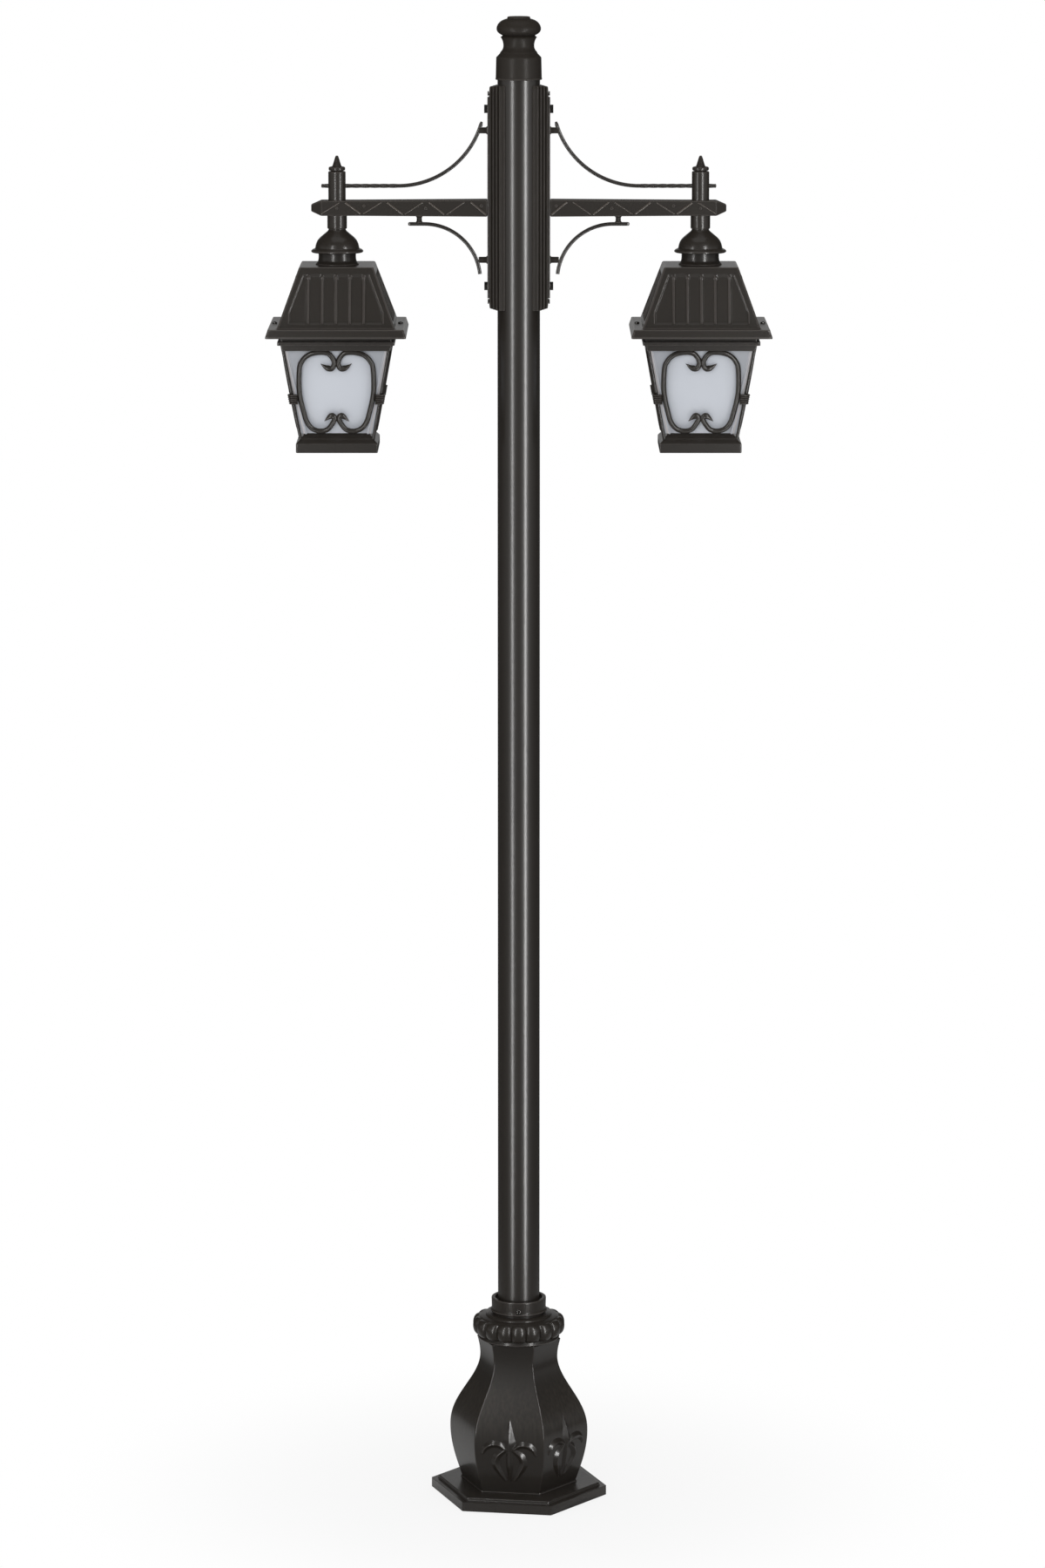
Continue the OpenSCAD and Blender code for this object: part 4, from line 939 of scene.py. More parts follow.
def arm_screw_parts():
    """Domed screws on the arm's front and back: one on the lantern's axis and three between the lines."""
    head = rounded([(3.2, -1), (3.2, 0.5, 0.5), (2.2, 1.4, 0.8), (0.5, 1.6)])
    parts = []
    for place, rise in ((0.04, 0.0045), (0.41, 0), (0.82, 0.0045), (1, 0)):
        x = ARM_LOW[0] + place * (AXIS_X - ARM_LOW[0])
        for way in (-1, 1):
            axes = np.array([[1, 0, 0], [0, 0, way], [0, way, 0]])
            parts.append(turned(head, (x, way * ARM_HIGH[1], ARM_Z + rise), 20, axes=axes))
    return parts


def zigzag_parts():
    """The raised zigzag on the arm's front and back: half-round bars, bold where the line rises away from the
    pole and slight where it falls again."""
    size = sizes()
    start = ARM_LOW[0] + 0.0023
    slight = 0.6 * size.zigzag_r
    front = []
    for place in range(4):
        foot, crest, turn, end = start + size.zigzag_period * (place + np.array([0, 0.37, 0.51, 0.944]))
        front.append(raised_line((foot, -1), (crest, 1), size.zigzag_r))
        front.append(raised_line((turn, 1), (end, -1), slight))
    return front + mirrored(front, (1, -1, 1))


def raised_line(start, end, radius):
    """A half-round bar on the arm's front, between two points given along the arm and by their share of its
    half height."""
    border, root = 0.0035, -0.0008
    x, rise = np.linspace(start, end, 5).T
    path = columns(x, -ARM_HIGH[1], ARM_Z + rise * (arm_half_height(x) - border))
    way = unit(path[-1] - path[0])
    side = np.array([-way[2], 0, way[0]])
    section = np.vstack([half_oval(9, radius, 0.9 * radius), [[-radius, root], [radius, root]]])
    return swept(path, side, np.array([0, -1, 0]), section)


def bar(line, twist=np.zeros(1)):
    """A slim bar along a line in the arms' plane: a rounded square, turned about the line by the twist at
    each point, with both ends drawn in."""
    way = directions(line)
    path = columns(line[:, 0], 0, line[:, 1])
    side = columns(-way[:, 1], 0, way[:, 0])
    scale = np.full((len(line), 1), ROD_R)
    scale[[0, -1]] *= 0.6
    across, out = squarish(16, 0.7).T * 1.02
    cos, sin = np.cos(twist)[:, None], np.sin(twist)[:, None]
    section = columns(scale * (across * cos - out * sin), scale * (across * sin + out * cos))
    return swept(path, side, np.array([0, 1, 0]), section)


def bent_line(start, centre_x, bend, sweep, counts):
    """A level line from its start, and the arc that it runs into, upwards where the bend is positive."""
    x, height = start
    turn = np.linspace(0, sweep, counts[1])
    straight = columns(np.linspace(x, centre_x, counts[0], endpoint=False), height)
    return straight, columns(centre_x - abs(bend) * np.sin(turn), height + bend * (1 - np.cos(turn)))


def stay_parts():
    """The stay: a straight bar, twisted at a steady rate, that runs into a plain arc up to the bracket."""
    size = sizes()
    centre_x = STAY_LOW[0] + (ROD_R + size.stay_bend) * math.sin(size.stay_sweep)
    start = (STAY_HIGH[0], STAY_LOW[2] + ROD_R)
    straight, arc = bent_line(start, centre_x, size.stay_bend, size.stay_sweep, (110, 40))
    line = np.concatenate([straight, arc])
    run = distances(line)
    before_arc = np.minimum(run - run[len(straight)], 0)
    return [bar(line, 2 * math.pi * before_arc / size.twist_pitch)]


def brace_parts():
    """The brace: a straight bar under the arm that runs into an arc down to the bracket, and a tail."""
    size = sizes()
    cos, sin = math.cos(size.brace_sweep), math.sin(size.brace_sweep)
    centre_x = BRACE_LOW[0] + (ROD_R + size.brace_bend) * sin + size.brace_tail * cos
    start = (BRACE_HIGH[0], BRACE_HIGH[2] - ROD_R)
    straight, arc = bent_line(start, centre_x, -size.brace_bend, size.brace_sweep, (12, 30))
    foot = BRACE_LOW[2] + ROD_R * cos
    tail_l = (arc[-1, 1] - foot) / sin
    tail = arc[-1] - np.linspace(0.2, 1, 5)[:, None] * tail_l * (cos, sin)
    return [bar(np.concatenate([straight, arc, tail]))]


def stub_parts():
    """The stubs that hold the rods off the brackets, and the waisted post between arm and brace."""
    radius = STUB_HIGH[1]
    long = 15.6
    axes = np.array([[0, 1, 0], [0, 0, 1], [1, 0, 0]])
    solid = 1 - radius / MM
    stub = rounded([(0.8, 0), (0.8, 1.2, 0.5), (-0.8, 2, 0.6), (-1, long, 1), (solid, long)], (radius, 0))
    parts = [
        turned(stub, (BACK_HIGH[0], 0, height), 32, axes=axes)
        for height in (STUB_HIGH[2] - radius, STUB_LOW[2] + radius)
    ]
    low = BRACE_HIGH[2] - MM
    top = (ARM_LOW[2] - low) / MM + 2.5
    spool = rounded([
        (-0.6, 0), (-0.4, 1.6, 0.6), (-1.6, 3, 0.8), (-1.8, top - 5, 1), (0, top - 3, 0.8), (0, top, 0.4),
        (solid, top),
    ], (radius, low))
    return [*parts, turned(spool, (STUB_HIGH[0] - radius, 0, 0), 32)]


# Hangers and roofs

def hanger_post_parts():
    """The post above the arm: a turned tube with a small foot and a chamfered top."""
    radius = (POST_HIGH[0] - POST_LOW[0]) / 2 / MM
    top = (POST_HIGH[2] - POST_LOW[2]) / MM
    return [turned(rounded([
        (radius - 0.4, 0), (radius, 0.8, 0.4), (radius, top - 1.4, 0.8), (radius - 2, top, 0.6), (1, top),
    ]), on_axis(POST_LOW[2]))]


def finial_parts():
    """The finial: a neck, a rounded disc and a cone with a blunt tip."""
    top = (FINIAL_HIGH[2] - POST_HIGH[2]) / MM
    return [turned(rounded([
        (10.4, -6), (10.4, 0.6, 0.4), (13.8, 1.2, 0.5), (14.8, 2.6, 1.2), (14.8, 6.2, 1.4), (13.4, 7.6, 1.2),
        (8.6, 8.6, 1.2), (7.6, 10.4, 1), (2.8, top - 1.6, 1.4), (1.6, top, 0.8), (0.3, top),
    ]), on_axis(POST_HIGH[2]), 48)]


def hanger_tube_parts():
    """The tube below the arm."""
    radius = (TUBE_HIGH[0] - TUBE_LOW[0]) / 2 / MM
    top = (TUBE_HIGH[2] - TUBE_LOW[2]) / MM
    return [turned(rounded([
        (9, 0), (radius - 1, 0, 0.6), (radius, 1.4, 0.8), (radius, top), (9, top),
    ]), on_axis(TUBE_LOW[2]))]


def dome_parts():
    """The dome: a cone, a rounded shoulder, a thin ring, a neck and a flared foot."""
    top = (DOME_HIGH[2] - DOME_LOW[2]) / MM
    return [turned(rounded([
        (8.2, 0), (38.4, 0, 0.6), (38.8, 1.4, 0.6), (37, 3, 1.2), (34.2, 6.4, 2), (33.4, 12, 2),
        (33.4, 20.6, 0.5), (44.6, 21.2, 0.8), (46.5, 22.6, 0.8), (46.5, 24.6, 0.9), (44.4, 26.6, 1),
        (40.6, 28.2, 1), (39.3, 29.6, 0.6), (38.9, top - 31, 2), (37.6, top - 26, 2.5), (35, top - 20.4, 2.5),
        (30.4, top - 15.2, 2), (17.4, top - 4.4, 1.2), (15.6, top - 2.2, 0.8), (15.2, top), (8.2, top),
    ], steps=7), on_axis(DOME_LOW[2]), 96, loop=True)]


def panel_side(rise, slope_l):
    """Half-width of a roof face's sunk panel at a distance up the slope: level at its foot, slanted above."""
    size = sizes()
    level, border = 0.030, 0.015
    foot = size.roof_foot_hw - 0.022
    head = size.roof_top_hw - 0.008
    return foot + (head - foot) * progress(rise, level, slope_l - border)


def roof_relief(across, rise, slope_l):
    """Depth of the roof's faces at a distance across from the middle and up the slope: a sunk panel, in which
    upright ribs with flat backs and round heads come up to the border again. Each edge is a smooth step, a
    slower one at the panel's head and foot."""
    size = sizes()
    foot, head = 0.010, slope_l - 0.015
    edge, steep = 0.0026, 1.7
    rib_head, head_r, head_steep = head - 0.004, 0.0042, 1.8
    ends = 0.4 * np.minimum(rise - foot, head - rise)
    panel = smooth_step(np.minimum(ends, panel_side(rise, slope_l) - np.abs(across)) / edge + 0.5)
    off_rib = across - np.round(np.clip(across / size.rib_pitch, -2, 2)) * size.rib_pitch
    rib = smooth_step(steep - steep * np.abs(off_rib) / (size.rib_w / 2))
    cap = smooth_step(head_steep - head_steep * np.hypot(off_rib, rise - rib_head) / head_r)
    return size.panel_depth * panel * (np.maximum(rib, 1.25 * cap) - 1)


def roof_parts():
    """The roof and brim as one closed shell. The slope's grid keeps its middle columns upright, so that the
    ribs run along them, draws the next ones along the panel's slanted sides, and spreads the rest out to the
    hips. The faces meet in small arcs."""
    size = sizes()
    foot, head, brim = size.roof_foot_hw / MM, size.roof_top_hw / MM, size.brim_hw / MM
    flare = (ROOF_HIGH[0] - ROOF_LOW[0]) / 2 / MM
    ledge, top = size.brim_h / MM, (ROOF_HIGH[2] - ROOF_LOW[2]) / MM
    wall, bore = 4, 8.2
    lower = rounded([
        (flare - wall, 0), (flare, 0, 0.8), (flare, 3, 0.8), (brim + 0.6, ledge - 3, 0.6), (brim, ledge, 1.2),
        (foot + 3, ledge, 1.0), (foot, ledge + 1, 0.8),
    ])
    upper = rounded([
        (head, top - 1, 0.6), (head - 1, top, 0.6), (60, top), (bore, top), (bore, top - wall),
        (head - wall - 0.4, top - wall), (foot - wall - 0.4, ledge - wall), (brim - 3.4, ledge - wall),
        (flare - wall, 2),
    ])
    slope = np.linspace((foot, ledge), (head, top), 84)[2:-2] * MM
    profile = np.concatenate([lower, slope, upper])
    hw, z = profile[:, :1], profile[:, 1:]
    tall, run = (top - ledge) * MM, (foot - head) * MM
    slope_l = math.hypot(tall, run)
    rise = np.clip((z - size.brim_h) / tall, 0, 1) * slope_l
    hip, close = 0.003, 0.0016
    upright_hw = size.roof_top_hw - 0.014
    arc = np.minimum(hip, hw)
    half = np.maximum(hw - arc, size.roof_top_hw - hip)
    side = panel_side(rise, slope_l)
    middle = np.linspace(-1, 1, 121) * upright_hw
    step = np.linspace(0, 1, 10)[1:]
    near, far = side - close, side + close
    edge = side + np.linspace(-close / 2, close, 4)
    outer = np.hstack([upright_hw + (near - upright_hw) * step, edge, far + (half - far) * step])
    across = np.hstack([-outer[:, ::-1], middle + 0 * hw, outer]) * (hw - arc) / half
    on_slope = np.zeros((len(profile), 1))
    on_slope[len(lower):len(lower) + len(slope)] = 1
    relief = on_slope * roof_relief(across, rise, slope_l)
    turn = np.radians([15, 30, 45, 60, 75])
    out = np.hstack([hw + relief * tall / slope_l, hw - arc + arc * np.cos(turn)])
    up = np.hstack([z + relief * run / slope_l, z + 0 * turn])
    across = np.hstack([across, hw - arc + arc * np.sin(turn)])
    face = columns(out, across, up)
    faces = np.concatenate([about(face, quarter) for quarter in QUARTERS], axis=1)
    return [surface(on_axis(ROOF_LOW[2]) + faces, loop=True)]


def brim_screw_parts():
    """A pan-headed screw on the middle of the brim's left and right ledges."""
    radius = SCREW_HIGH[1]
    rim = radius / MM
    head = rounded([
        (2, -14), (2, -3), (rim, -3, 0.3), (rim, -1.2, 0.9), (rim - 1.6, -0.2, 0.8), (1.6, 0, 0.2),
        (1.4, -0.8, 0.1), (0.3, -0.8),
    ])
    return [turned(head, (x, 0, SCREW_HIGH[2]), 28) for x in (SCREW_LOW[0] + radius, SCREW_HIGH[0] - radius)]


# Cages

def body_z():
    """Height at which the lantern's tapered body starts, on the plinth's upright sides."""
    return PLINTH_LOW[2] + sizes().plinth_h


def body_lean():
    """How far the body's faces lean out for each length upwards."""
    size = sizes()
    return (size.body_top_hw - size.body_foot_hw) / size.body_h


def body_hw(height):
    """Half-width of the body at a height."""
    return sizes().body_foot_hw + body_lean() * (height - body_z())


def cage_parts():
    """The cage: a frame of rail, lip, neck and flange round the top, and a square post down each corner."""
    size = sizes()
    deep, corner, overlap = 6, 0.002, 0.001
    top = body_z() + size.body_h
    rail = top - size.rail_h
    flange = ((CAGE_HIGH[0] - CAGE_LOW[0]) / 2 - size.body_top_hw) / MM
    low, high = -size.rail_h / MM, (CAGE_HIGH[2] - top) / MM
    rail_out = (body_hw(rail) - size.body_top_hw) / MM
    profile = rounded([
        (-deep, low), (rail_out, low, 0.8), (0, 0, 0.6), (5.5, 0, 1), (5.5, 7, 1), (0, 7, 0.6),
        (0, high - 6, 0.6), (flange, high - 6, 0.6), (flange, high, 0.8), (-deep, high),
    ], (size.body_top_hw, 0))
    rim = many_sided(profile, 4, corner, on_axis(top))
    height = np.array([body_z() + 2 * overlap, PLINTH_HIGH[2], rail + overlap])
    middle = body_hw(height) - size.post_w / 2
    path = columns(AXIS_X + middle, middle, height)
    post = swept(path, np.array([1, 0, 0]), np.array([0, 1, 0]), squarish(32, 7) * size.post_w / 2)
    return [rim, *spun([post], QUARTERS, LANTERN)]


def pane_parts():
    """Four panes of opal glass that stand inside the plinth's rim and lean out with the body. Each runs on
    past the next one, behind the posts."""
    size = sizes()
    thick, seat, gap, overlap = 0.003, 0.0008, 0.0005, 0.0005
    foot, top = PLINTH_HW - 0.0164, size.body_top_hw - 0.0068
    rise = np.linspace(0, 1, 12)[:, None]
    low, high = PLINTH_HIGH[2] - seat, body_z() + size.body_h - gap
    height = low + (high - low) * rise
    across = np.linspace(-1, 1, 13) * (body_hw(height) - size.post_w + overlap)
    out = foot + (top - foot) * rise
    front, back = (columns(AXIS_X + across, -face, height) for face in (out, out - thick))
    return spun([slab(front, back)], QUARTERS, LANTERN)


def scroll_parts():
    """Two mirrored scroll bars on each face: a half-round bar along a smooth line, swelling a little into a
    leaf towards each end and drawn to a point there. The line is given in shares of the window's half-width
    and height."""
    size = sizes()
    foot_z = PLINTH_HIGH[2]
    tall = body_z() + size.body_h - size.rail_h - foot_z
    span = body_hw(foot_z + tall / 2) - size.corner_w
    line = np.array([
        (-0.368, 0.843), (-0.221, 0.794), (-0.101, 0.787), (-0.045, 0.854), (-0.115, 0.933), (-0.235, 0.974),
        (-0.448, 0.976), (-0.661, 0.945), (-0.808, 0.872), (-0.875, 0.765), (-0.875, 0.488), (-0.768, 0.235),
        (-0.701, 0.135), (-0.581, 0.060), (-0.395, 0.030), (-0.221, 0.050), (-0.101, 0.122), (-0.048, 0.182),
        (-0.101, 0.215), (-0.181, 0.198), (-0.293, 0.149),
    ])
    leaf_l, leaf_spread, sunk = 0.015, 0.008, 0.003
    lean = math.atan(body_lean())
    across = np.array([1, 0, 0])
    up = np.array([0, -math.sin(lean), math.cos(lean)])
    out = np.array([0, -math.cos(lean), -math.sin(lean)])
    flat = smooth_line(line * (span, tall / math.cos(lean)), 7)
    way = directions(flat)
    foot = np.array([AXIS_X, -body_hw(foot_z), foot_z]) - sunk * out
    path = foot + flat[:, :1] * across + flat[:, 1:] * up
    side = way[:, :1] * up - way[:, 1:] * across
    run = distances(flat)
    end = np.minimum(run, run[-1] - run)[:, None]
    taper = np.clip(end / leaf_l, 0.03, 1)
    leaf = 1 + 0.18 * np.exp(-((end - leaf_l) / leaf_spread) ** 2)
    section = half_oval(13, size.scroll_w / 2 * leaf * taper ** 0.75, size.scroll_t * taper ** 0.5)
    left = swept(path, side, out, section)
    right = mirrored([left], (-1, 1, 1), LANTERN)
    return spun([left, *right], QUARTERS, LANTERN)


def band_parts():
    """A ribbed band round each corner post: a line that turns the corner in a small arc, and a section of
    half-round ribs one above another."""
    size = sizes()
    middle = (BAND_LOW[2] + BAND_HIGH[2]) / 2
    hw = body_hw(middle)
    arc, seat, rib, root = 0.0022, 0.0022, 0.0030, -0.004
    bend = hw - arc + arc * circle(24)[:7]
    start = columns(hw, np.linspace(hw - size.band_reach, hw - 2 * arc, 3))
    line = np.concatenate([start, bend, start[::-1, ::-1]])
    way = directions(line)
    out = columns(way[:, 1], -way[:, 0], 0)[:, None]
    pitch = size.band_h / size.band_rings
    turn = np.linspace(-math.pi / 2, math.pi / 2, 7)
    ribs = [
        columns(pitch * (place + 0.5 + 0.47 * np.sin(turn)) - size.band_h / 2, seat + rib * np.cos(turn))
        for place in range(size.band_rings)
    ]
    section = np.concatenate([*ribs, [[size.band_h / 2, root], [-size.band_h / 2, root]]])
    path = columns(AXIS_X + line[:, 0], line[:, 1], middle)[:, None]
    grid = path + section[:, :1] * (body_lean() * out + (0, 0, 1)) + section[:, 1:] * out
    return spun([surface(grid)], QUARTERS, LANTERN)


def plinth_parts():
    """The plinth: a shallow tray with upright sides and a bevel in two steps up to its rim."""
    corner = 0.0022
    low, high = -sizes().plinth_h / MM, (PLINTH_HIGH[2] - body_z()) / MM
    profile = rounded([
        (-6, low), (-0.8, low, 0.6), (0, low + 1.4, 0.8), (0, -2, 0.8), (-1.6, 0, 0.8), (-7.6, 5.6, 0.5),
        (-8.6, 7.6, 0.5), (-16, high, 0.6), (-19, high), (-19, 0), (-6, -2),
    ], (PLINTH_HW, 0))
    return [many_sided(profile, 4, corner, on_axis(body_z()))]


def lamp_parts():
    """The lamp: a globe on a neck."""
    radius = LAMP_HIGH[1]
    top = (LAMP_HIGH[2] - LAMP_LOW[2]) / MM
    turn = np.radians(np.linspace(-89, 52, 30))
    globe = columns(radius * np.cos(turn), radius + radius * np.sin(turn))
    neck = rounded([(14.6, 78, 6), (13.4, 98), (13, top - 2), (12, top), (1, top)])
    return [turned(np.concatenate([globe, neck]), on_axis(LAMP_LOW[2]))]


def holder_parts():
    """The lampholder: a ceramic cup with two grooves and a rounded mouth."""
    radius = HOLDER_HIGH[1] / MM
    top = (HOLDER_HIGH[2] - HOLDER_LOW[2]) / MM
    return [turned(rounded([
        (13.8, 3, 1), (15, 0, 1), (radius - 1.6, 0, 1), (radius - 0.6, 2, 1), (radius - 0.6, 16, 0.6),
        (radius - 2.6, 18, 0.6), (radius - 2.6, 20, 0.6), (radius, 22, 0.6), (radius, top - 4, 1),
        (radius - 3, top, 1), (8.3, top), (8.3, top - 20), (13.8, top - 24),
    ]), on_axis(HOLDER_LOW[2]), loop=True)]


# Operators

class LAMPPOST_OT_foot(bpy.types.Operator):
    """Finishes the foot plate and the pieces at the pole's foot"""

    bl_idname = "lamppost.foot"
    bl_label = "Foot"

    def execute(self, context):
        dress_node("foot_plate", "painted_steel", 0.002)
        dress_node("pole_socket", "painted_steel", 0.001)
        dress_node("access_door", "painted_steel", 0.0006)
        dress_node("door_screws", "plated_steel", 0.0003)
        dress_node("terminal_block", "terminal_plastic", 0.0008)
        return {"FINISHED"}


class LAMPPOST_OT_pole(bpy.types.Operator):
    """Makes the pole and its cap"""

    bl_idname = "lamppost.pole"
    bl_label = "Pole and cap"

    def execute(self, context):
        make_piece("pole_tube_form", pole_parts(), "painted_steel", "post", "pole_tube")
        make_piece("pole_cap_form", cap_parts(), "painted_casting", "post", "pole_cap")
        return {"FINISHED"}


class LAMPPOST_OT_cover(bpy.types.Operator):
    """Makes the base cover, its lilies, the beaded ring, the collar and its screws"""

    bl_idname = "lamppost.cover"
    bl_label = "Base cover"

    def execute(self, context):
        body = "base_cover"
        make_piece("base_cover_form", cover_parts(), "cover_casting", body, "base_cover")
        make_piece("cover_lilies", lily_parts(), "lily_casting", body)
        make_piece("beaded_ring_form", ring_parts(), "turned_casting", body, "beaded_ring")
        make_piece("pole_collar_form", collar_parts(), "turned_casting", body, "pole_collar")
        screws = collar_screw_parts()
        make_piece("collar_screws_form", screws, "black_screw", body, "collar_screws")
        return {"FINISHED"}


class LAMPPOST_OT_brackets(bpy.types.Operator):
    """Makes the fluted brackets and back plates, and finishes their bolts"""

    bl_idname = "lamppost.brackets"
    bl_label = "Brackets"

    def execute(self, context):
        # The reeds' crowns take the pale edge colour as light stripes: wear and painted highlight
        both_sides(bracket_parts, "bracket", "painted_casting", wear_and_highlight=0.7)
        both_sides(back_plate_parts, "back_plate", "painted_steel")
        dress_node("bracket_bolts", "black_screw", 0.0008)
        return {"FINISHED"}


class LAMPPOST_OT_arms(bpy.types.Operator):
    """Makes the arms, stays, braces and their stubs"""

    bl_idname = "lamppost.arms"
    bl_label = "Arms and rods"

    def execute(self, context):
        # The arm's edges take half again the pale edge colour, as wear and painted highlight
        both_sides(arm_parts, "arm", "painted_casting", wear_and_highlight=1.5)
        lines = zigzag_parts()
        for side, sign in SIDES.items():
            parts = mirrored(lines, (sign, 1, 1))
            # The zigzag lines take the paint three times as light, as a painted highlight along them
            make_piece(side + "_arm_lines", parts, "highlit_casting", "post")
        both_sides(stay_parts, "stay", "painted_steel")
        both_sides(brace_parts, "brace", "painted_steel")
        both_sides(stub_parts, "stubs", "painted_casting")
        return {"FINISHED"}


class LAMPPOST_OT_hangers(bpy.types.Operator):
    """Makes the posts, finials, tubes and domes that hang the lanterns"""

    bl_idname = "lamppost.hangers"
    bl_label = "Hangers"

    def execute(self, context):
        both_sides(hanger_post_parts, "hanger_post", "painted_casting", "turned_casting")
        both_sides(finial_parts, "finial", "painted_casting", "turned_casting")
        both_sides(hanger_tube_parts, "hanger_tube", "painted_casting", "turned_casting")
        both_sides(dome_parts, "dome", "painted_casting", "turned_casting")
        return {"FINISHED"}


class LAMPPOST_OT_roofs(bpy.types.Operator):
    """Makes the lanterns' roofs and brim screws"""

    bl_idname = "lamppost.roofs"
    bl_label = "Roofs"

    def execute(self, context):
        # The roof's ribs and edges take three times the pale edge colour, as painted highlight lines with the
        # wear
        both_sides(roof_parts, "roof", "painted_casting", "turned_casting", wear_and_highlight=3.0)
        both_sides(brim_screw_parts, "brim_screws", "plated_steel", "black_screw")
        return {"FINISHED"}


class LAMPPOST_OT_cages(bpy.types.Operator):
    """Makes the lanterns' cages, panes, scrolls, bands and plinths"""

    bl_idname = "lamppost.cages"
    bl_label = "Cages"

    def execute(self, context):
        both_sides(scroll_parts, "scrolls", "painted_casting", "turned_casting", "cage")
        both_sides(band_parts, "corner_bands", "painted_casting", "turned_casting", "cage")
        both_sides(plinth_parts, "plinth", "painted_casting", "turned_casting", "cage")
        both_sides(cage_parts, "cage", "painted_casting", "turned_casting", "cage")
        both_sides(pane_parts, "panes", "opal_glass", body="cage")
        return {"FINISHED"}


class LAMPPOST_OT_lamps(bpy.types.Operator):
    """Makes the lamps and lampholders, and finishes the pieces inside the lanterns and arms"""

    bl_idname = "lamppost.lamps"
    bl_label = "Lamps"

    def execute(self, context):
        both_sides(lamp_parts, "lamp", "lamp_opal")
        both_sides(holder_parts, "lampholder", "holder_ceramic")
        for side in SIDES:
            dress_node(side + "_stem_rod", "plated_steel")
            dress_node(side + "_roof_nut", "plated_steel", 0.0005)
            dress_node(side + "_seal", "seal_rubber", 0.0005)
            dress_node(side + "_cable", "cable_sheath")
        return {"FINISHED"}


# Stage

def floor_material():
    """The floor: a pale matt ground near the post, which keeps its shadow, and plain white light farther
    away. In a gloss it is pale beside and behind the post and dim farther away and in front."""
    pale, dark, white = (opaque((tone, tone, tone)) for tone in (0.86, 0.1, 1.0))
    material, shader = new_material("studio_floor")
    point = shader.place()
    distance = shader.node("ShaderNodeVectorMath", {"operation": "LENGTH"}, {0: point}, output=1)
    near = 1.0 - distance.rising(0.5, 1.7)
    dim = 1.0 - near * (0.2 + 0.8 * point.along("Y").rising(-0.35, 0.1))
    tone = shader.mix(shader.ray("Glossy") * dim, pale, dark)
    ground = shader.node("ShaderNodeBsdfDiffuse", None, {"Color": tone})
    light = shader.node("ShaderNodeEmission", None, {"Color": white, "Strength": 1.0})
    far = 0.82 + 0.18 * distance.rising(0.25, 0.9)
    both = shader.node("ShaderNodeMixShader", None, {0: far * shader.ray("Camera"), 1: ground, 2: light})
    shader.node("ShaderNodeOutputMaterial", None, {0: both})
    return material


def make_floor():
    """A wide flat disc just under the post."""
    ring = columns(*circle(96, 24.0).T, -0.0005)
    mesh = bpy.data.meshes.new("studio_floor")
    mesh.from_pydata(ring.tolist(), [], [list(range(len(ring)))])
    mesh.materials.append(floor_material())
    floor = bpy.data.objects.new("studio_floor", mesh)
    bpy.context.scene.collection.objects.link(floor)


def make_world():
    """Soft light all round: white where the camera sees it, dimmer as plain light, and in a gloss pale at
    both sides and straight behind the post, with dark between them and in front."""
    plain = 0.67
    world = bpy.data.worlds.new("studio_world")
    bpy.context.scene.world = world
    shader = Shader(world)
    ways = shader.node("ShaderNodeTexCoord", output="Generated")
    along, up = ways.along("Y"), ways.along("Z")
    seen = shader.ray("Camera").at_least(shader.ray("Transmission"))
    beside = along.rising(-0.88, -0.72) * (1.0 - along.rising(-0.05, 0.35)) * (1.0 - up.rising(0.1, 0.4))
    reflected = 0.04 + 0.75 * beside + 0.60 * along.rising(0.88, 0.99)
    strength = plain + seen * (1.0 - plain) + shader.ray("Glossy") * (reflected - plain)
    back = shader.node("ShaderNodeBackground", None, {"Color": opaque((1, 1, 1)), "Strength": strength})
    shader.node("ShaderNodeOutputWorld", None, {0: back})


def make_light(name, place, target, wide, tall, power, lights=True, shines=True):
    """A soft panel of light that faces a point and that the camera doesn't see. It gives plain light, a
    gloss, or both."""
    data = bpy.data.lights.new(name, "AREA")
    data.shape = "RECTANGLE"
    data.size = wide
    data.size_y = tall
    data.energy = power
    light = bpy.data.objects.new(name, data)
    light.location = place
    way = Vector(target) - Vector(place)
    light.rotation_euler = way.to_track_quat("-Z", "Y").to_euler()
    light.visible_camera = False
    light.visible_diffuse = lights
    light.visible_glossy = shines
    bpy.context.scene.collection.objects.link(light)


def make_camera():
    """The camera: ten metres in front, above the lanterns and tilted down, with the frame shifted down so
    that the whole post stands in it as in the photograph. The focal length and the shifts are in pixels."""
    frame_h = 1800
    focal, right, down = 6447, 4.3, 270
    tilt = math.radians(7.97)
    data = bpy.data.cameras.new("studio_camera")
    data.sensor_width = 36.0
    data.lens = focal / frame_h * data.sensor_width
    data.shift_x = right / frame_h
    data.shift_y = -down / frame_h
    data.clip_end = 100.0
    camera = bpy.data.objects.new("studio_camera", data)
    camera.location = (0, -10, 3.15)
    camera.rotation_euler = (math.pi / 2 - tilt, 0, 0)
    bpy.context.scene.collection.objects.link(camera)
    bpy.context.scene.camera = camera


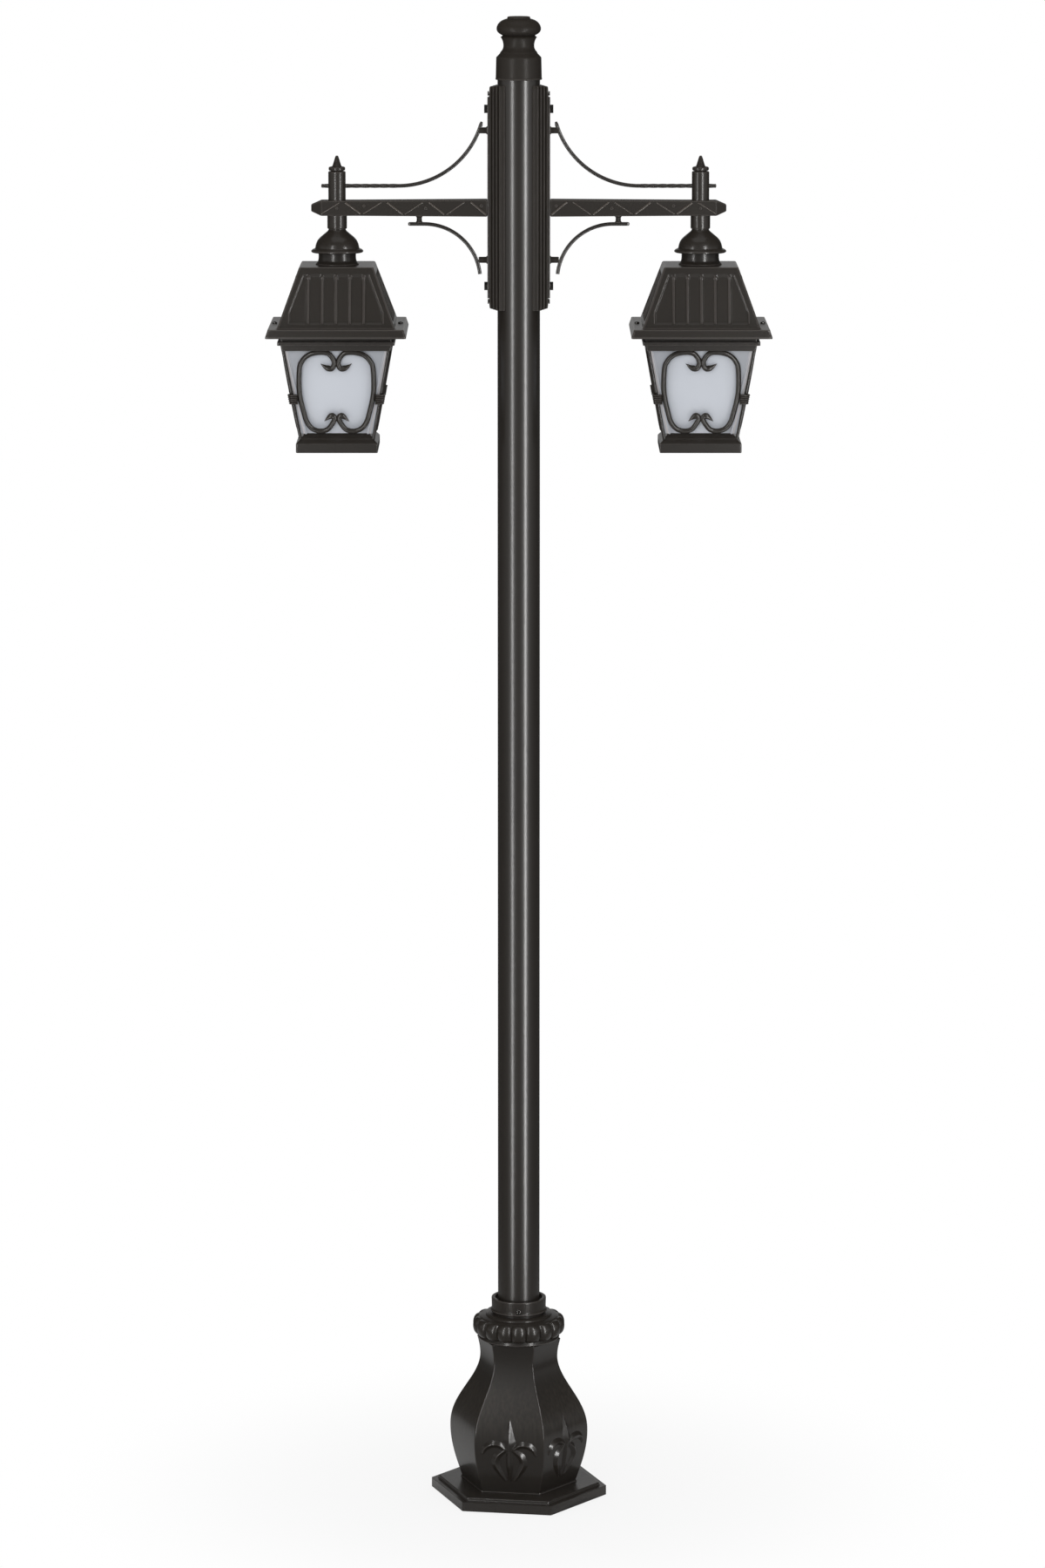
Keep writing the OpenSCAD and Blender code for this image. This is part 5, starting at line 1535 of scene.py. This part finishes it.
class LAMPPOST_OT_stage(bpy.types.Operator):
    """Sets the floor, the light and the camera"""

    bl_idname = "lamppost.stage"
    bl_label = "Stage"

    def execute(self, context):
        make_floor()
        make_world()
        make_light("left_strip", (-0.85, -1.24, 1.45), (0, 0, 1.45), 0.18, 2.9, 32, lights=False)
        make_light("right_strip", (0.90, -1.20, 1.45), (0, 0, 1.45), 0.20, 2.9, 49, lights=False)
        make_light("front_fill", (-1.2, -5.0, 3.6), (0, 0, 1.4), 3.0, 3.0, 55, shines=False)
        make_light("overhead", (0, -0.5, 5.5), (0, 0, 0), 3.0, 3.0, 26)
        make_camera()
        context.scene.view_settings.view_transform = "Standard"
        return {"FINISHED"}


class LAMPPOST_PT_panel(bpy.types.Panel):
    """Lists the lamp post's sizes, its finish and the steps that make it"""

    bl_idname = "LAMPPOST_PT_panel"
    bl_label = "Lamp post"
    bl_space_type = "VIEW_3D"
    bl_region_type = "UI"
    bl_category = "Lamp post"

    def draw(self, context):
        column = self.layout.column()
        for group in (sizes(), finish()):
            for name in group.__annotations__:
                column.prop(group, name)
        for operator in OPERATORS:
            column.operator(operator.bl_idname)


OPERATORS = (
    LAMPPOST_OT_foot,
    LAMPPOST_OT_pole,
    LAMPPOST_OT_cover,
    LAMPPOST_OT_brackets,
    LAMPPOST_OT_arms,
    LAMPPOST_OT_hangers,
    LAMPPOST_OT_roofs,
    LAMPPOST_OT_cages,
    LAMPPOST_OT_lamps,
    LAMPPOST_OT_stage,
)
CLASSES = (LampPostSizes, LampPostFinish, *OPERATORS, LAMPPOST_PT_panel)


def register():
    for item in CLASSES:
        bpy.utils.register_class(item)
    bpy.types.Scene.lamp_post_sizes = bpy.props.PointerProperty(type=LampPostSizes)
    bpy.types.Scene.lamp_post_finish = bpy.props.PointerProperty(type=LampPostFinish)


def unregister():
    del bpy.types.Scene.lamp_post_sizes
    del bpy.types.Scene.lamp_post_finish
    for item in reversed(CLASSES):
        bpy.utils.unregister_class(item)


def main():
    register()
    for operator in OPERATORS:
        group, name = operator.bl_idname.split(".")
        getattr(getattr(bpy.ops, group), name)()


if __name__ == "__main__":
    main()
